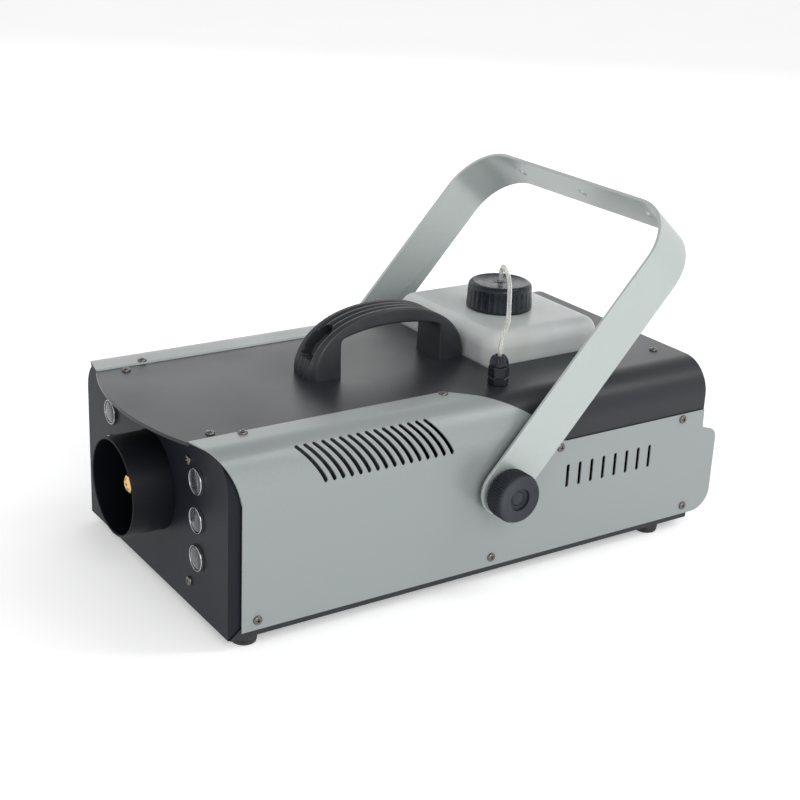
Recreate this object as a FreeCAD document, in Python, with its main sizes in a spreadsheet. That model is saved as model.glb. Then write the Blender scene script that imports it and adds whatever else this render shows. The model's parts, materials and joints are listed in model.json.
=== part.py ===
import FreeCAD, Part
import math
import os
import re
from FreeCAD import Placement, Rotation, Vector

# Fog machine. X runs across the machine, -Y is the front (outlet tube), +Z is up, millimetres.
# The origin is under the middle of the whole machine, on the surface that its feet stand on.

doc = FreeCAD.newDocument("fog_machine")
sheet = doc.addObject("Spreadsheet::Sheet", "dims")

DIMENSIONS = {
    # casing
    "body_width": 260, "body_top": 153, "shoulder_radius": 30.2, "sheet_thick": 1.2,
    "side_bottom": 13, "tray_bottom": 8, "side_front": -212, "side_rear": 256, "cover_rear": 239,
    "seam_x": 84, "nose_radius": 234, "nose_centre": -13.6, "rear_seam_height": 110,
    "panel_front": -222, "rear_panel_y": 232,
    # front
    "tube_radius": 39.4, "tube_wall": 1.4, "tube_front": -256, "tube_back": -150, "tube_height": 88.2,
    "lamp_x": 78, "lamp_middle": 85.9, "lamp_pitch": 31.3, "lamp_radius": 10.8, "lamp_proud": 3,
    # bracket
    "pivot_y": 16.4, "pivot_height": 83.7, "bracket_tilt": 42, "strap_width": 42.4, "strap_thick": 2.9,
    "strap_outer": 139.15, "strap_reach": 263.4, "strap_bend": 47, "strap_hole_pitch": 86,
    "strap_hole_radius": 4.5, "stud_radius": 4, "stud_clear": 0.05, "knob_radius": 20.6, "knob_face": 160,
    "thread_pitch": 1.25,
    # tank
    "tank_x": -22.5, "tank_y": 122.4, "tank_width": 145, "tank_length": 122.4, "tank_bottom": 34.6,
    "tank_proud": 25, "tank_edge": 14, "tank_wall": 2, "cap_x": -16, "cap_y": 119, "cap_radius": 29,
    "cap_bottom": 178.4, "cap_height": 23, "neck_radius": 24, "hose_radius": 2,
    # handle
    "handle_front": -90, "handle_rear": 60, "handle_width": 36, "handle_height": 48, "foot_length": 27,
    "handle_bolt": 2.4,
    # gland, feet, screws
    "gland_x": 86, "gland_y": 44, "gland_hex": 8.6, "gland_thread": 5.6, "gland_base": 6, "gland_grip": 9.5,
    "gland_dome": 8.9, "foot_x": 118, "foot_front": -204, "foot_back": 195, "foot_radius": 9.5,
    "screw_head": 3.7, "screw_head_height": 2, "screw_shank": 1.9, "screw_hole": 2.2, "screw_length": 6,
    # inside
    "heater_width": 72, "heater_front": -150, "heater_bottom": 62, "heater_length": 165, "heater_height": 52,
    "pipe_radius": 5, "pipe_bore": 1.5, "pump_y": 70, "pump_height": 45, "sleeve_radius": 7,
    "sleeve_length": 62, "plunger_radius": 5, "plunger_length": 30, "coil_radius": 19, "coil_length": 34,
    "board_x": 62,
    "board_y": 138, "board_width": 58, "board_length": 80, "board_thick": 1.6, "board_lift": 8,
    "post_x": 126.6, "post_depth": 32, "post_thick": 2,
    # rear fittings
    "inlet_x": -78, "switch_x": -24, "socket_x": 72, "fitting_height": 60,
}
for row, (alias, value) in enumerate(DIMENSIONS.items(), start=1):
    sheet.set("A%d" % row, alias)
    sheet.set("B%d" % row, str(value))
    sheet.setAlias("B%d" % row, alias)
doc.recompute()

# The hose leaves the cap upwards, arches over towards the gland with a slight bow, and drops into it.
HOSE_ROUTE = [(-16, 119, 196), (-16, 119, 208.5), (-8.6, 114.8, 218), (3.9, 109, 217.2),
              (18.3, 101.5, 215.3), (33.2, 91.3, 210.6), (47.4, 80.4, 205.8), (61.8, 69.4, 200.4),
              (75, 58.8, 197.3), (86, 44, 188), (86, 44, 164)]

NODES = {}
X_AXIS = Rotation(Vector(0, 1, 0), 90)
Y_AXIS = Rotation(Vector(1, 0, 0), -90)
Z_AXIS = Rotation()
SIDES = {"right": 1, "left": -1}


def dim(alias):
    """The number in one cell of the sheet."""
    return float(sheet.get(alias))


def formula(text):
    """Turn 'seam_x + 3' into an expression on the sheet."""
    return re.sub(r"[a-z]\w*", lambda word: "dims." + word.group() if word.group() in DIMENSIONS
                  else word.group(), str(text))


def bind(obj, **sizes):
    for name, text in sizes.items():
        obj.setExpression(name, formula(text))


def place(obj, x, y, z, rotation=Z_AXIS):
    obj.Placement = Placement(Vector(), rotation)
    for axis, text in zip("xyz", (x, y, z)):
        obj.setExpression("Placement.Base." + axis, formula(text))
    return obj


def box(name, x, y, z, wide, deep, tall):
    """A block from its lowest corner."""
    obj = doc.addObject("Part::Box", name)
    bind(obj, Length=wide, Width=deep, Height=tall)
    return place(obj, x, y, z)


def rod(name, rotation, x, y, z, radius, length):
    """A cylinder that starts at a point and runs along X, Y or Z."""
    obj = doc.addObject("Part::Cylinder", name)
    bind(obj, Radius=radius, Height=length)
    return place(obj, x, y, z, rotation)


def cone(name, rotation, x, y, z, radius, end_radius, length):
    obj = doc.addObject("Part::Cone", name)
    bind(obj, Radius1=radius, Radius2=end_radius, Height=length)
    return place(obj, x, y, z, rotation)


def prism(name, rotation, x, y, z, radius, length):
    """A hexagon bar."""
    obj = doc.addObject("Part::Prism", name)
    obj.Polygon = 6
    bind(obj, Circumradius=radius, Height=length)
    return place(obj, x, y, z, rotation)


def fuse(name, *shapes):
    obj = doc.addObject("Part::MultiFuse", name)
    obj.Shapes = list(shapes)
    return obj


def group(name, *shapes):
    """Separate solids kept together, for identical fasteners."""
    obj = doc.addObject("Part::Compound", name)
    obj.Links = list(shapes)
    return obj


def common(name, base, tool):
    obj = doc.addObject("Part::Common", name)
    obj.Base, obj.Tool = base, tool
    return obj


def cut(name, base, *tools):
    obj = doc.addObject("Part::Cut", name)
    obj.Base = base
    obj.Tool = tools[0] if len(tools) == 1 else group(name + "_tools", *tools)
    return obj


def mirror(name, source):
    obj = doc.addObject("Part::Mirroring", name)
    obj.Source = source
    obj.Normal = Vector(1, 0, 0)
    return obj


def round_edges(name, base, radius, picks):
    """Fillet the edges that picks(edge) accepts."""
    doc.recompute()
    obj = doc.addObject("Part::Fillet", name)
    obj.Base = base
    obj.Edges = [(number, radius, radius) for number, edge in enumerate(base.Shape.Edges, start=1)
                 if picks(edge)]
    return obj


def node(name, obj):
    obj.Label = name
    NODES[name] = obj
    return obj


def outline(sketch, corners):
    """Add a closed outline; each corner is (u, v, radius)."""
    count = len(corners)
    ends = []
    for i, (u, v, radius) in enumerate(corners):
        here = Vector(u, v)
        before = (Vector(*corners[i - 1][:2]) - here).normalize()
        after = (Vector(*corners[(i + 1) % count][:2]) - here).normalize()
        half = before.getAngle(after) / 2
        reach = radius / math.tan(half) if radius else 0
        start, end = here + before * reach, here + after * reach
        ends.append((start, end))
        if radius:
            middle = here + (before + after).normalize() * (radius / math.sin(half) - radius)
            sketch.addGeometry(Part.Arc(start, middle, end))
    for i in range(count):
        start, end = ends[i][1], ends[(i + 1) % count][0]
        if start.distanceToPoint(end) > 1e-6:
            sketch.addGeometry(Part.LineSegment(start, end))


def extrusion(name, outlines, x, y, z, rotation, length, back=0):
    """A prism over closed outlines drawn in a placed sketch."""
    sketch = doc.addObject("Sketcher::SketchObject", name + "_sketch")
    for corners in outlines:
        outline(sketch, corners)
    place(sketch, x, y, z, rotation)
    obj = doc.addObject("Part::Extrusion", name)
    obj.Base = sketch
    obj.DirMode = "Normal"
    obj.Solid = True
    bind(obj, LengthFwd=length, LengthRev=back)
    return obj


def slot_outline(u, v, along, across, direction):
    """The four corners of a slot with rounded ends, from its start point."""
    unit = Vector(*direction).normalize()
    side = Vector(-unit.y, unit.x) * (across / 2)
    end = Vector(u, v) + unit * along
    start = Vector(u, v)
    radius = across / 2 - 0.01
    return [(point.x, point.y, radius) for point in (start - side, end - side, end + side, start + side)]


# Sketch planes: the side view (u = Y, v = Z) and the shoulder view (u runs down the shoulder, v = Y).
SIDE_VIEW = Rotation(Vector(0, 1, 0), Vector(0, 0, 1), Vector(1, 0, 0), "ZXY")
SHOULDER_VIEW = Rotation(Vector(1, 0, -1), Vector(0, 1, 0), Vector(1, 0, 1), "ZXY")

# Tools and regions reach past the machine: across it, along it, and above it.
HALF_ACROSS, ACROSS = 140, 280
ALONG_START, ALONG = -262, 524
ABOVE = 140
THROUGH = 20
FIT = 0.1


def casing_block(name, inset, bottom="tray_bottom"):
    """The casing's full outline, drawn in by inset: straight sides and a flat top with round shoulders."""
    inset = "(%s)" % inset
    shoulder = "shoulder_radius - %s" % inset
    low = box(name + "_low", "-body_width / 2 + %s" % inset, ALONG_START, bottom,
              "body_width - 2 * %s" % inset, ALONG, "body_top - shoulder_radius - (%s)" % bottom)
    high = box(name + "_high", "-body_width / 2 + shoulder_radius", ALONG_START, bottom,
               "body_width - 2 * shoulder_radius", ALONG, "body_top - %s - (%s)" % (inset, bottom))
    rounds = [rod(name + "_round_" + side, Y_AXIS, "%d * (body_width / 2 - shoulder_radius)" % sign,
                  ALONG_START, "body_top - shoulder_radius", shoulder, ALONG) for side, sign in SIDES.items()]
    return fuse(name, low, high, *rounds)


def casing_shell(name, inset, inner_inset):
    return cut(name, casing_block(name + "_outer", inset),
               casing_block(name + "_inner", inner_inset, "tray_bottom - 20"))


# ---------------------------------------------------------------- casing

SHOULDER_CENTRE = ("body_width / 2 - shoulder_radius", 0, "body_top - shoulder_radius")

# Screw places: (y, z) on the sides, y on the shoulders, (x, y) on the top, (x, z) on the end panels.
SIDE_SCREWS = [(-199, 21), (15, 21), (225, 21), (79, 105), (213.5, 105)]
TRAY_SCREWS = SIDE_SCREWS[:3]
UPPER_SCREWS = SIDE_SCREWS[3:]
SHOULDER_SCREWS = [-190, -11.4]
SHOULDER_SCREW_X = 88
COVER_SCREWS = [(75, -210), (80, 218.6)]
PANEL_SCREWS = [(64, 29), (64, 129)]
REAR_SCREWS = [(108, 24), (98, 134)]
HANDLE_SCREWS = [-76, 46]


def side_cover():
    """Right cover: it wraps from the seam over the shoulder and down the side."""
    front, rear = dim("side_front"), dim("side_rear")
    top_seam, nose_reach, nose_slope = -32.6, 19.8, 2.3
    step_start, step_end = -8, 80
    rear_seam = (dim("body_top") - dim("rear_seam_height")) / math.sqrt(2)
    past_side, past_rear, past_front, past_top = 110, rear + 2, front - 30, 180
    region = extrusion("side_region", [[
        (top_seam, front - nose_reach, 0), (top_seam + 9, front - nose_reach + nose_slope, 0), (26, front, 6),
        (past_side, front, 0), (past_side, past_rear, 0), (rear_seam, past_rear, 0), (rear_seam, step_end, 18),
        (top_seam, step_start, 18)]], *SHOULDER_CENTRE, SHOULDER_VIEW, 60, 90)
    lug_top, lug_depth = 93, 17
    profile = extrusion("side_profile", [[
        (past_front, dim("side_bottom"), 0), (rear, dim("side_bottom"), 19), (rear, lug_top - 5, 10),
        (rear - lug_depth, lug_top, 3), (rear - lug_depth - 1.5, past_top, 0), (past_front, past_top, 0)]],
        0, 0, 0, SIDE_VIEW, HALF_ACROSS)
    shell = common("side_shell", common("side_shell_region", casing_shell("side_casing", 0, "sheet_thick"),
                                        region), profile)
    slot_width = 3.2
    louvre_first, louvre_pitch, louvre_start, louvre_length, louvre_lean = -162.4, 7.55, -6.4, 35.2, (29, 20)
    louvres = extrusion("shoulder_slots", [
        slot_outline(louvre_start, louvre_first + louvre_pitch * i, louvre_length, slot_width, louvre_lean)
        for i in range(16)], *SHOULDER_CENTRE, SHOULDER_VIEW, 60)
    vent_first, vent_pitch, vent_bottom, vent_length = 89, 12.75, 67.5, 20.5
    vents = extrusion("side_slots", [
        slot_outline(vent_first + vent_pitch * i, vent_bottom, vent_length, slot_width, (0, 1))
        for i in range(8)], 0, 0, 0, SIDE_VIEW, HALF_ACROSS)
    holes = [rod("side_hole_%d" % i, X_AXIS, "body_width / 2 - 10", y, z, "screw_hole", THROUGH)
             for i, (y, z) in enumerate(SIDE_SCREWS)]
    holes += [rod("shoulder_hole_%d" % i, Z_AXIS, SHOULDER_SCREW_X, y, ABOVE, "screw_hole", THROUGH)
              for i, y in enumerate(SHOULDER_SCREWS)]
    pivot = rod("side_pivot_hole", X_AXIS, "body_width / 2 - 10", "pivot_y", "pivot_height", "stud_radius + 1",
                THROUGH)
    return cut("side_cover", shell, louvres, vents, pivot, *holes)


node("side_cover_right", side_cover())
node("side_cover_left", mirror("side_cover_left", NODES["side_cover_right"]))


def top_cover():
    """Black cover: flat top with an arched front lip, and shoulders that wrap down at the rear."""
    skin = casing_shell("top_casing", "sheet_thick", "2 * sheet_thick")
    flat_half, region_bottom, region_tall, lip_height, step = 99, 100, 60, 2.2, -8
    nose = rod("nose_arc", Z_AXIS, 0, "nose_centre", region_bottom, "nose_radius", region_tall)
    rear_half = box("top_rear_half", -flat_half, "nose_centre", region_bottom, 2 * flat_half,
                    "cover_rear - nose_centre", region_tall)
    strip = box("top_strip", -flat_half, ALONG_START, "body_top - 6", 2 * flat_half, ALONG, 8)
    flat = common("top_flat", fuse("top_plan", nose, rear_half), strip)
    shoulders = box("rear_shoulders", "-body_width / 2", step, region_bottom, "body_width",
                    "cover_rear - (%d)" % step, region_tall)
    sheet_part = common("top_sheet", skin, fuse("top_region", flat, shoulders))
    lip_base = "body_top - sheet_thick - %g" % (lip_height + 0.6)
    lip_ring = cut("lip_ring", rod("lip_outer", Z_AXIS, 0, "nose_centre", lip_base, "nose_radius", lip_height),
                   rod("lip_inner", Z_AXIS, 0, "nose_centre", lip_base, "nose_radius - sheet_thick",
                       lip_height + 2))
    lip = common("nose_lip", lip_ring, box("lip_zone", "-seam_x", ALONG_START, lip_base, "2 * seam_x", 62,
                                           lip_height))
    rear_lip = common("rear_lip", casing_block("rear_lip_block", "sheet_thick"),
                      box("rear_lip_zone", "-body_width / 2", "cover_rear - sheet_thick", "body_top - 15",
                          "body_width", "sheet_thick", 20))
    tank_gap = 2.5
    opening = box("tank_opening", "tank_x - tank_width / 2 - %g" % tank_gap,
                  "tank_y - tank_length / 2 - %g" % tank_gap, ABOVE,
                  "tank_width + %g" % (2 * tank_gap), "tank_length + %g" % (2 * tank_gap), THROUGH)
    holes = [rod("cover_hole_%d_%s" % (i, side), Z_AXIS, sign * x, y, ABOVE, "screw_hole", THROUGH)
             for i, (x, y) in enumerate(COVER_SCREWS) for side, sign in SIDES.items()]
    holes += [rod("cover_shoulder_hole_%d_%s" % (i, side), Z_AXIS, sign * SHOULDER_SCREW_X, y, ABOVE,
                  "screw_hole", THROUGH) for i, y in enumerate(SHOULDER_SCREWS) for side, sign in SIDES.items()]
    holes += [rod("cover_side_hole_%d" % i, X_AXIS, -HALF_ACROSS, y, z, "screw_hole", ACROSS)
              for i, (y, z) in enumerate(UPPER_SCREWS)]
    holes += [rod("handle_hole_%d" % i, Z_AXIS, 0, y, ABOVE, "handle_bolt + 0.2", THROUGH)
              for i, y in enumerate(HANDLE_SCREWS)]
    gland = rod("cover_gland_hole", Z_AXIS, "gland_x", "gland_y", ABOVE, "gland_thread + %g" % FIT, THROUGH)
    return cut("top_cover", fuse("top_body", sheet_part, lip, rear_lip), opening, gland, *holes)


node("top_cover", top_cover())


def floor_tray():
    flange = 20
    outer = box("tray_outer", "-body_width / 2 + sheet_thick", "panel_front + sheet_thick", "tray_bottom",
                "body_width - 2 * sheet_thick", "rear_panel_y - panel_front - sheet_thick", flange)
    inner = box("tray_inner", "-body_width / 2 + 2 * sheet_thick", ALONG_START, "tray_bottom + sheet_thick",
                "body_width - 4 * sheet_thick", ALONG, flange)
    front, nick_length, past_top = dim("panel_front") - 5.4, 17, 40
    nick = extrusion("tray_nick", [[(front, 9, 0), (front + 6.8, 9, 0), (front + nick_length, 17.5, 0),
                                    (front + nick_length, past_top, 0), (front, past_top, 0)]],
                     -HALF_ACROSS, 0, 0, SIDE_VIEW, ACROSS)
    holes = [rod("tray_hole_%d" % i, X_AXIS, -HALF_ACROSS, y, z, "screw_hole", ACROSS)
             for i, (y, z) in enumerate(TRAY_SCREWS)]
    return cut("floor_tray", outer, inner, nick, *holes)


node("floor_tray", floor_tray())


def end_panel(name, y, inward, openings):
    """A plate that closes one end: a rim round its edge and a top flange point inward (+1 is towards +Y)."""
    depth, flange_depth, flange_half = 16, 26, 94
    edge, inner_edge = "2 * sheet_thick + 0.2", "3 * sheet_thick + 0.2"
    base = y if inward > 0 else "%s + sheet_thick - %g" % (y, depth)
    flange_base = y if inward > 0 else "%s + sheet_thick - %g" % (y, flange_depth)
    plate = common(name + "_plate", casing_block(name + "_block", edge),
                   box(name + "_slab", "-body_width / 2", y, "tray_bottom", "body_width", "sheet_thick",
                       "body_top"))
    rim = common(name + "_rim", casing_shell(name + "_shell", edge, inner_edge),
                 box(name + "_rim_slab", "-body_width / 2", base, "tray_bottom + sheet_thick + %g" % FIT,
                     "body_width", depth, "body_top"))
    flange = box(name + "_flange", -flange_half, flange_base, "body_top - %s" % inner_edge.replace("+", "-"),
                 2 * flange_half, flange_depth, "sheet_thick")
    return cut(name, fuse(name + "_body", plate, rim, flange), *openings)


def front_panel():
    before = "panel_front - 8"
    lamps = [rod("lamp_hole_%d_%s" % (row, side), Y_AXIS, "%d * lamp_x" % sign, before,
                 "lamp_middle + %d * lamp_pitch" % row, "lamp_radius - 1", THROUGH)
             for row in (-1, 0, 1) for side, sign in SIDES.items()]
    screws = [rod("panel_hole_%d_%s" % (i, side), Y_AXIS, sign * x, before, z, "screw_hole", THROUGH)
              for i, (x, z) in enumerate(PANEL_SCREWS) for side, sign in SIDES.items()]
    x, y = COVER_SCREWS[0]
    flange_screws = [rod("panel_flange_hole_" + side, Z_AXIS, sign * x, y, ABOVE, "screw_hole", THROUGH)
                     for side, sign in SIDES.items()]
    tube = rod("panel_tube_hole", Y_AXIS, 0, before, "tube_height", "tube_radius + 0.3", THROUGH)
    return end_panel("front_panel", "panel_front", 1, [tube, *lamps, *screws, *flange_screws])


node("front_panel", front_panel())

INLET_BARREL = (47.6, 47.6)
SWITCH_BARREL = (21.6, 27.6)
SOCKET_RADIUS = 11.4
PANEL_FIT = 0.2


def centred(name, x, y, z, wide, deep, tall):
    """A block centred on x and z, from its lowest y."""
    return box(name, "%s - %g" % (x, wide / 2), y, "%s - %g" % (z, tall / 2), wide, deep, tall)


def rear_panel():
    before = "rear_panel_y - 7"
    wide, tall = (size + 2 * PANEL_FIT for size in INLET_BARREL)
    inlet = centred("inlet_hole", "inlet_x", before, "fitting_height", wide, THROUGH, tall)
    wide, tall = (size + 2 * PANEL_FIT for size in SWITCH_BARREL)
    switch = centred("switch_hole", "switch_x", before, "fitting_height", wide, THROUGH, tall)
    socket = rod("socket_hole", Y_AXIS, "socket_x", before, "fitting_height", SOCKET_RADIUS + PANEL_FIT,
                 THROUGH)
    screws = [rod("rear_hole_%d_%s" % (i, side), Y_AXIS, sign * x, before, z, "screw_hole", THROUGH)
              for i, (x, z) in enumerate(REAR_SCREWS) for side, sign in SIDES.items()]
    x, y = COVER_SCREWS[1]
    flange_screws = [rod("rear_flange_hole_" + side, Z_AXIS, sign * x, y, ABOVE, "screw_hole", THROUGH)
                     for side, sign in SIDES.items()]
    y, z = TRAY_SCREWS[-1]
    side_screws = rod("rear_side_hole", X_AXIS, -HALF_ACROSS, y, z, "screw_hole", ACROSS)
    return end_panel("rear_panel", "rear_panel_y", -1,
                     [inlet, switch, socket, side_screws, *screws, *flange_screws])


node("rear_panel", rear_panel())


def feet():
    recess_radius, recess_depth = 3, 3
    for end, y in (("front", "foot_front"), ("rear", "foot_back")):
        for side, sign in SIDES.items():
            name = "foot_%s_%s" % (end, side)
            x = "%d * foot_x" % sign
            tread = cone(name + "_tread", Z_AXIS, x, y, 0, "foot_radius", "foot_radius + 1", "tray_bottom")
            recess = rod(name + "_recess", Z_AXIS, x, y, -1, recess_radius, recess_depth + 1)
            node(name, cut(name, tread, recess))


feet()


def screw(name, rotation, x, y, z):
    """A pan-head screw: the head stands out along +axis from the point, the shank goes the other way."""
    head = rod(name + "_head", rotation, x, y, z, "screw_head", "screw_head_height")
    offset = rotation.multVec(Vector(0, 0, -dim("screw_length")))
    shank = rod(name + "_shank", rotation, "%s + %g" % (x, offset.x), "%s + %g" % (y, offset.y),
                "%s + %g" % (z, offset.z), "screw_shank", "screw_length")
    return fuse(name, head, shank)


def screws():
    left_axis = Rotation(Vector(0, 1, 0), -90)
    front_axis = Rotation(Vector(1, 0, 0), 90)
    sides = []
    for side, sign in SIDES.items():
        axis = X_AXIS if sign > 0 else left_axis
        sides += [screw("side_screw_%s_%d" % (side, i), axis, "%d * body_width / 2" % sign, y, z)
                  for i, (y, z) in enumerate(SIDE_SCREWS)]
        sides += [screw("shoulder_screw_%s_%d" % (side, i), Z_AXIS, sign * SHOULDER_SCREW_X, y, "body_top")
                  for i, y in enumerate(SHOULDER_SCREWS)]
    node("side_cover_screws", group("side_cover_screws", *sides))
    tops = [screw("cover_screw_%d_%s" % (i, side), Z_AXIS, sign * x, y, "body_top - sheet_thick")
            for i, (x, y) in enumerate(COVER_SCREWS) for side, sign in SIDES.items()]
    node("top_cover_screws", group("top_cover_screws", *tops))
    fronts = [screw("front_screw_%d_%s" % (i, side), front_axis, sign * x, "panel_front", z)
              for i, (x, z) in enumerate(PANEL_SCREWS) for side, sign in SIDES.items()]
    rears = [screw("rear_screw_%d_%s" % (i, side), Y_AXIS, sign * x, "rear_panel_y + sheet_thick", z)
             for i, (x, z) in enumerate(REAR_SCREWS) for side, sign in SIDES.items()]
    node("end_panel_screws", group("end_panel_screws", *fronts, *rears))
    bolts = []
    for i, y in enumerate(HANDLE_SCREWS):
        shank = rod("handle_screw_%d" % i, Z_AXIS, 0, y, "body_top - 12", "handle_bolt", 24)
        head = rod("handle_screw_head_%d" % i, Z_AXIS, 0, y, "body_top - 2 * sheet_thick - 3",
                   "handle_bolt + 2.6", 3)
        bolts.append(fuse("handle_bolt_%d" % i, shank, head))
    node("handle_screws", group("handle_screws", *bolts))


screws()

# ---------------------------------------------------------------- front end


def outlet_tube():
    """Open tube with a rolled rim; a flange behind the front panel holds it."""
    roll, flange_reach, flange_thick, past = 1.1, 9, 1.5, 2
    wall = rod("tube_wall_outer", Y_AXIS, 0, "tube_front + %g" % (roll / 2), "tube_height", "tube_radius",
               "tube_back - tube_front - %g" % (roll / 2))
    rim = doc.addObject("Part::Torus", "tube_rim")
    bind(rim, Radius1="tube_radius - %g" % roll, Radius2=roll)
    place(rim, 0, "tube_front + %g" % roll, "tube_height", Y_AXIS)
    flange = rod("tube_flange", Y_AXIS, 0, "panel_front + sheet_thick", "tube_height",
                 "tube_radius + %g" % flange_reach, flange_thick)
    bore = rod("tube_bore", Y_AXIS, 0, "tube_front - %g" % past, "tube_height", "tube_radius - tube_wall",
               "tube_back - tube_front + %g" % (2 * past))
    return cut("outlet_tube", fuse("tube_body", wall, rim, flange), bore)


node("outlet_tube", outlet_tube())


def nozzle():
    tip_front, tip_depth, hexagon_depth = -244.7, 1.2, 8
    hexagon_front = tip_front + tip_depth
    stem_front = hexagon_front + hexagon_depth
    tip = cone("nozzle_tip", Y_AXIS, 0, tip_front, "tube_height", 3.2, 4.6, tip_depth)
    hexagon = prism("nozzle_hex", Y_AXIS, 0, hexagon_front, "tube_height", 7.2, hexagon_depth)
    stem = rod("nozzle_stem", Y_AXIS, 0, stem_front, "tube_height", 4.2, "panel_front + 1 - (%g)" % stem_front)
    orifice = rod("nozzle_orifice", Y_AXIS, 0, tip_front - 1, "tube_height", 0.8, 30)
    return cut("nozzle", fuse("nozzle_body", hexagon, tip, stem), orifice)


node("nozzle", nozzle())


def outlet_pipe():
    wall = rod("outlet_pipe_wall", Y_AXIS, 0, "panel_front + 1", "tube_height", "pipe_radius", 90)
    bore = rod("outlet_pipe_bore", Y_AXIS, 0, "panel_front", "tube_height", "pipe_bore", 100)
    return cut("outlet_pipe", wall, bore)


node("outlet_pipe", outlet_pipe())


def lamps():
    face = "panel_front - lamp_proud"
    ring_width, dome_radius, dome_back, board_edge = 2, 16, 18.2, 12
    boards = []
    for side, sign in SIDES.items():
        x = "%d * lamp_x" % sign
        lenses = []
        for row, level in ((1, "upper"), (0, "middle"), (-1, "lower")):
            height = "lamp_middle + %d * lamp_pitch" % row
            name = "lamp_bezel_%s_%s" % (level, side)
            ring = rod(name + "_ring", Y_AXIS, x, face, height, "lamp_radius", "lamp_proud")
            bore = rod(name + "_bore", Y_AXIS, x, face + " - 1", height, "lamp_radius - %g" % ring_width,
                       THROUGH)
            node(name, cut(name, ring, bore))
            lens = "lamp_lens_%s_%s" % (level, side)
            dome = doc.addObject("Part::Sphere", lens + "_dome")
            bind(dome, Radius=dome_radius)
            place(dome, x, face + " + %g" % dome_back, height)
            plug = rod(lens + "_plug", Y_AXIS, x, face, height, "lamp_radius - %g" % (ring_width + FIT),
                       "lamp_proud + sheet_thick")
            lenses.append(common(lens, dome, plug))
        node("lamp_lenses_" + side, group("lamp_lenses_" + side, *lenses))
        boards.append(box("lamp_board_" + side, "%s - %g" % (x, board_edge), "panel_front + sheet_thick",
                          "lamp_middle - lamp_pitch - %g" % board_edge, 2 * board_edge, "board_thick",
                          "2 * lamp_pitch + %g" % (2 * board_edge)))
    node("lamp_boards", group("lamp_boards", *boards))


lamps()

# ---------------------------------------------------------------- inside


TRAY_FLOOR = "tray_bottom + sheet_thick"
SLIDING_FIT = 0.05


def heater():
    casting = box("heater_casting", "-heater_width / 2", "heater_front", "heater_bottom", "heater_width",
                  "heater_length", "heater_height")
    port = rod("heater_port", Y_AXIS, 0, "heater_front - 1", "tube_height", "pipe_radius + %g" % SLIDING_FIT,
               THROUGH)
    node("heater_block", cut("heater_block", casting, port))
    legs = [box("heater_leg_%d" % i, "-heater_width / 2", "heater_front + %g" % back, TRAY_FLOOR,
                "heater_width", 2, "heater_bottom - (%s)" % TRAY_FLOOR) for i, back in enumerate((20, 150))]
    node("heater_mounts", group("heater_mounts", *legs))


heater()


def pump():
    """Solenoid pump: coil on a yoke round a steel sleeve, with a sprung plunger inside the sleeve."""
    inlet_length, stop, coil_back, yoke_back = 33, 4, 14, 11
    yoke_width, yoke_length, yoke_height, yoke_thick = 42, 40, 60, 3
    tube = rod("pump_sleeve_wall", Y_AXIS, "gland_x", "pump_y", "pump_height", "sleeve_radius", "sleeve_length")
    inlet = box("pump_inlet_block", "gland_x - sleeve_radius", "pump_y - %g" % inlet_length,
                "pump_height - sleeve_radius", "2 * sleeve_radius", inlet_length, "2 * sleeve_radius")
    hollow = rod("pump_sleeve_bore", Y_AXIS, "gland_x", "pump_y + %g" % stop, "pump_height",
                 "plunger_radius + %g" % SLIDING_FIT, "sleeve_length - %g" % (2 * stop))
    node("pump_sleeve", cut("pump_sleeve", fuse("pump_sleeve_shape", tube, inlet), hollow))
    node("pump_plunger", rod("pump_plunger", Y_AXIS, "gland_x", "pump_y + 16", "pump_height", "plunger_radius",
                             "plunger_length"))
    coil = rod("pump_coil_wall", Y_AXIS, "gland_x", "pump_y + %g" % coil_back, "pump_height", "coil_radius",
               "coil_length")
    node("pump_coil", cut("pump_coil", coil, rod("pump_coil_bore", Y_AXIS, "gland_x", "pump_y", "pump_height",
                                                 "sleeve_radius + %g" % FIT, "sleeve_length + 8")))
    yoke = box("pump_frame_outer", "gland_x - %g" % (yoke_width / 2), "pump_y + %g" % yoke_back, TRAY_FLOOR,
               yoke_width, yoke_length, yoke_height)
    window = box("pump_frame_window", "gland_x - %g" % (yoke_width / 2 + 9),
                 "pump_y + %g" % (yoke_back + yoke_thick - 0.5), TRAY_FLOOR + " + %g" % yoke_thick,
                 yoke_width + 18, yoke_length - 2 * yoke_thick + 1, yoke_height - 2 * yoke_thick)
    node("pump_frame", cut("pump_frame", yoke, window,
                           rod("pump_frame_bore", Y_AXIS, "gland_x", "pump_y - 5", "pump_height",
                               "sleeve_radius + %g" % FIT, "sleeve_length + 28")))
    node("feed_tube", rod("feed_tube", Z_AXIS, "gland_x", "gland_y", "pump_height + sleeve_radius",
                          "hose_radius", "%g - pump_height - sleeve_radius" % HOSE_ROUTE[-1][2]))


pump()


def electronics():
    margin, post_radius = 4, 3
    board_base = TRAY_FLOOR + " + board_lift"
    node("control_board", box("control_board", "board_x", "board_y", board_base, "board_width", "board_length",
                              "board_thick"))
    xs = ("board_x + %g" % margin, "board_x + board_width - %g" % margin)
    ys = ("board_y + %g" % margin, "board_y + board_length - %g" % margin)
    posts = [rod("standoff_%d_%d" % (i, j), Z_AXIS, x, y, TRAY_FLOOR, post_radius, "board_lift")
             for i, x in enumerate(xs) for j, y in enumerate(ys)]
    node("board_standoffs", group("board_standoffs", *posts))
    node("transformer", box("transformer", "board_x + 12", "board_y + 12", board_base + " + board_thick",
                            36, 42, 32))


electronics()


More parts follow.
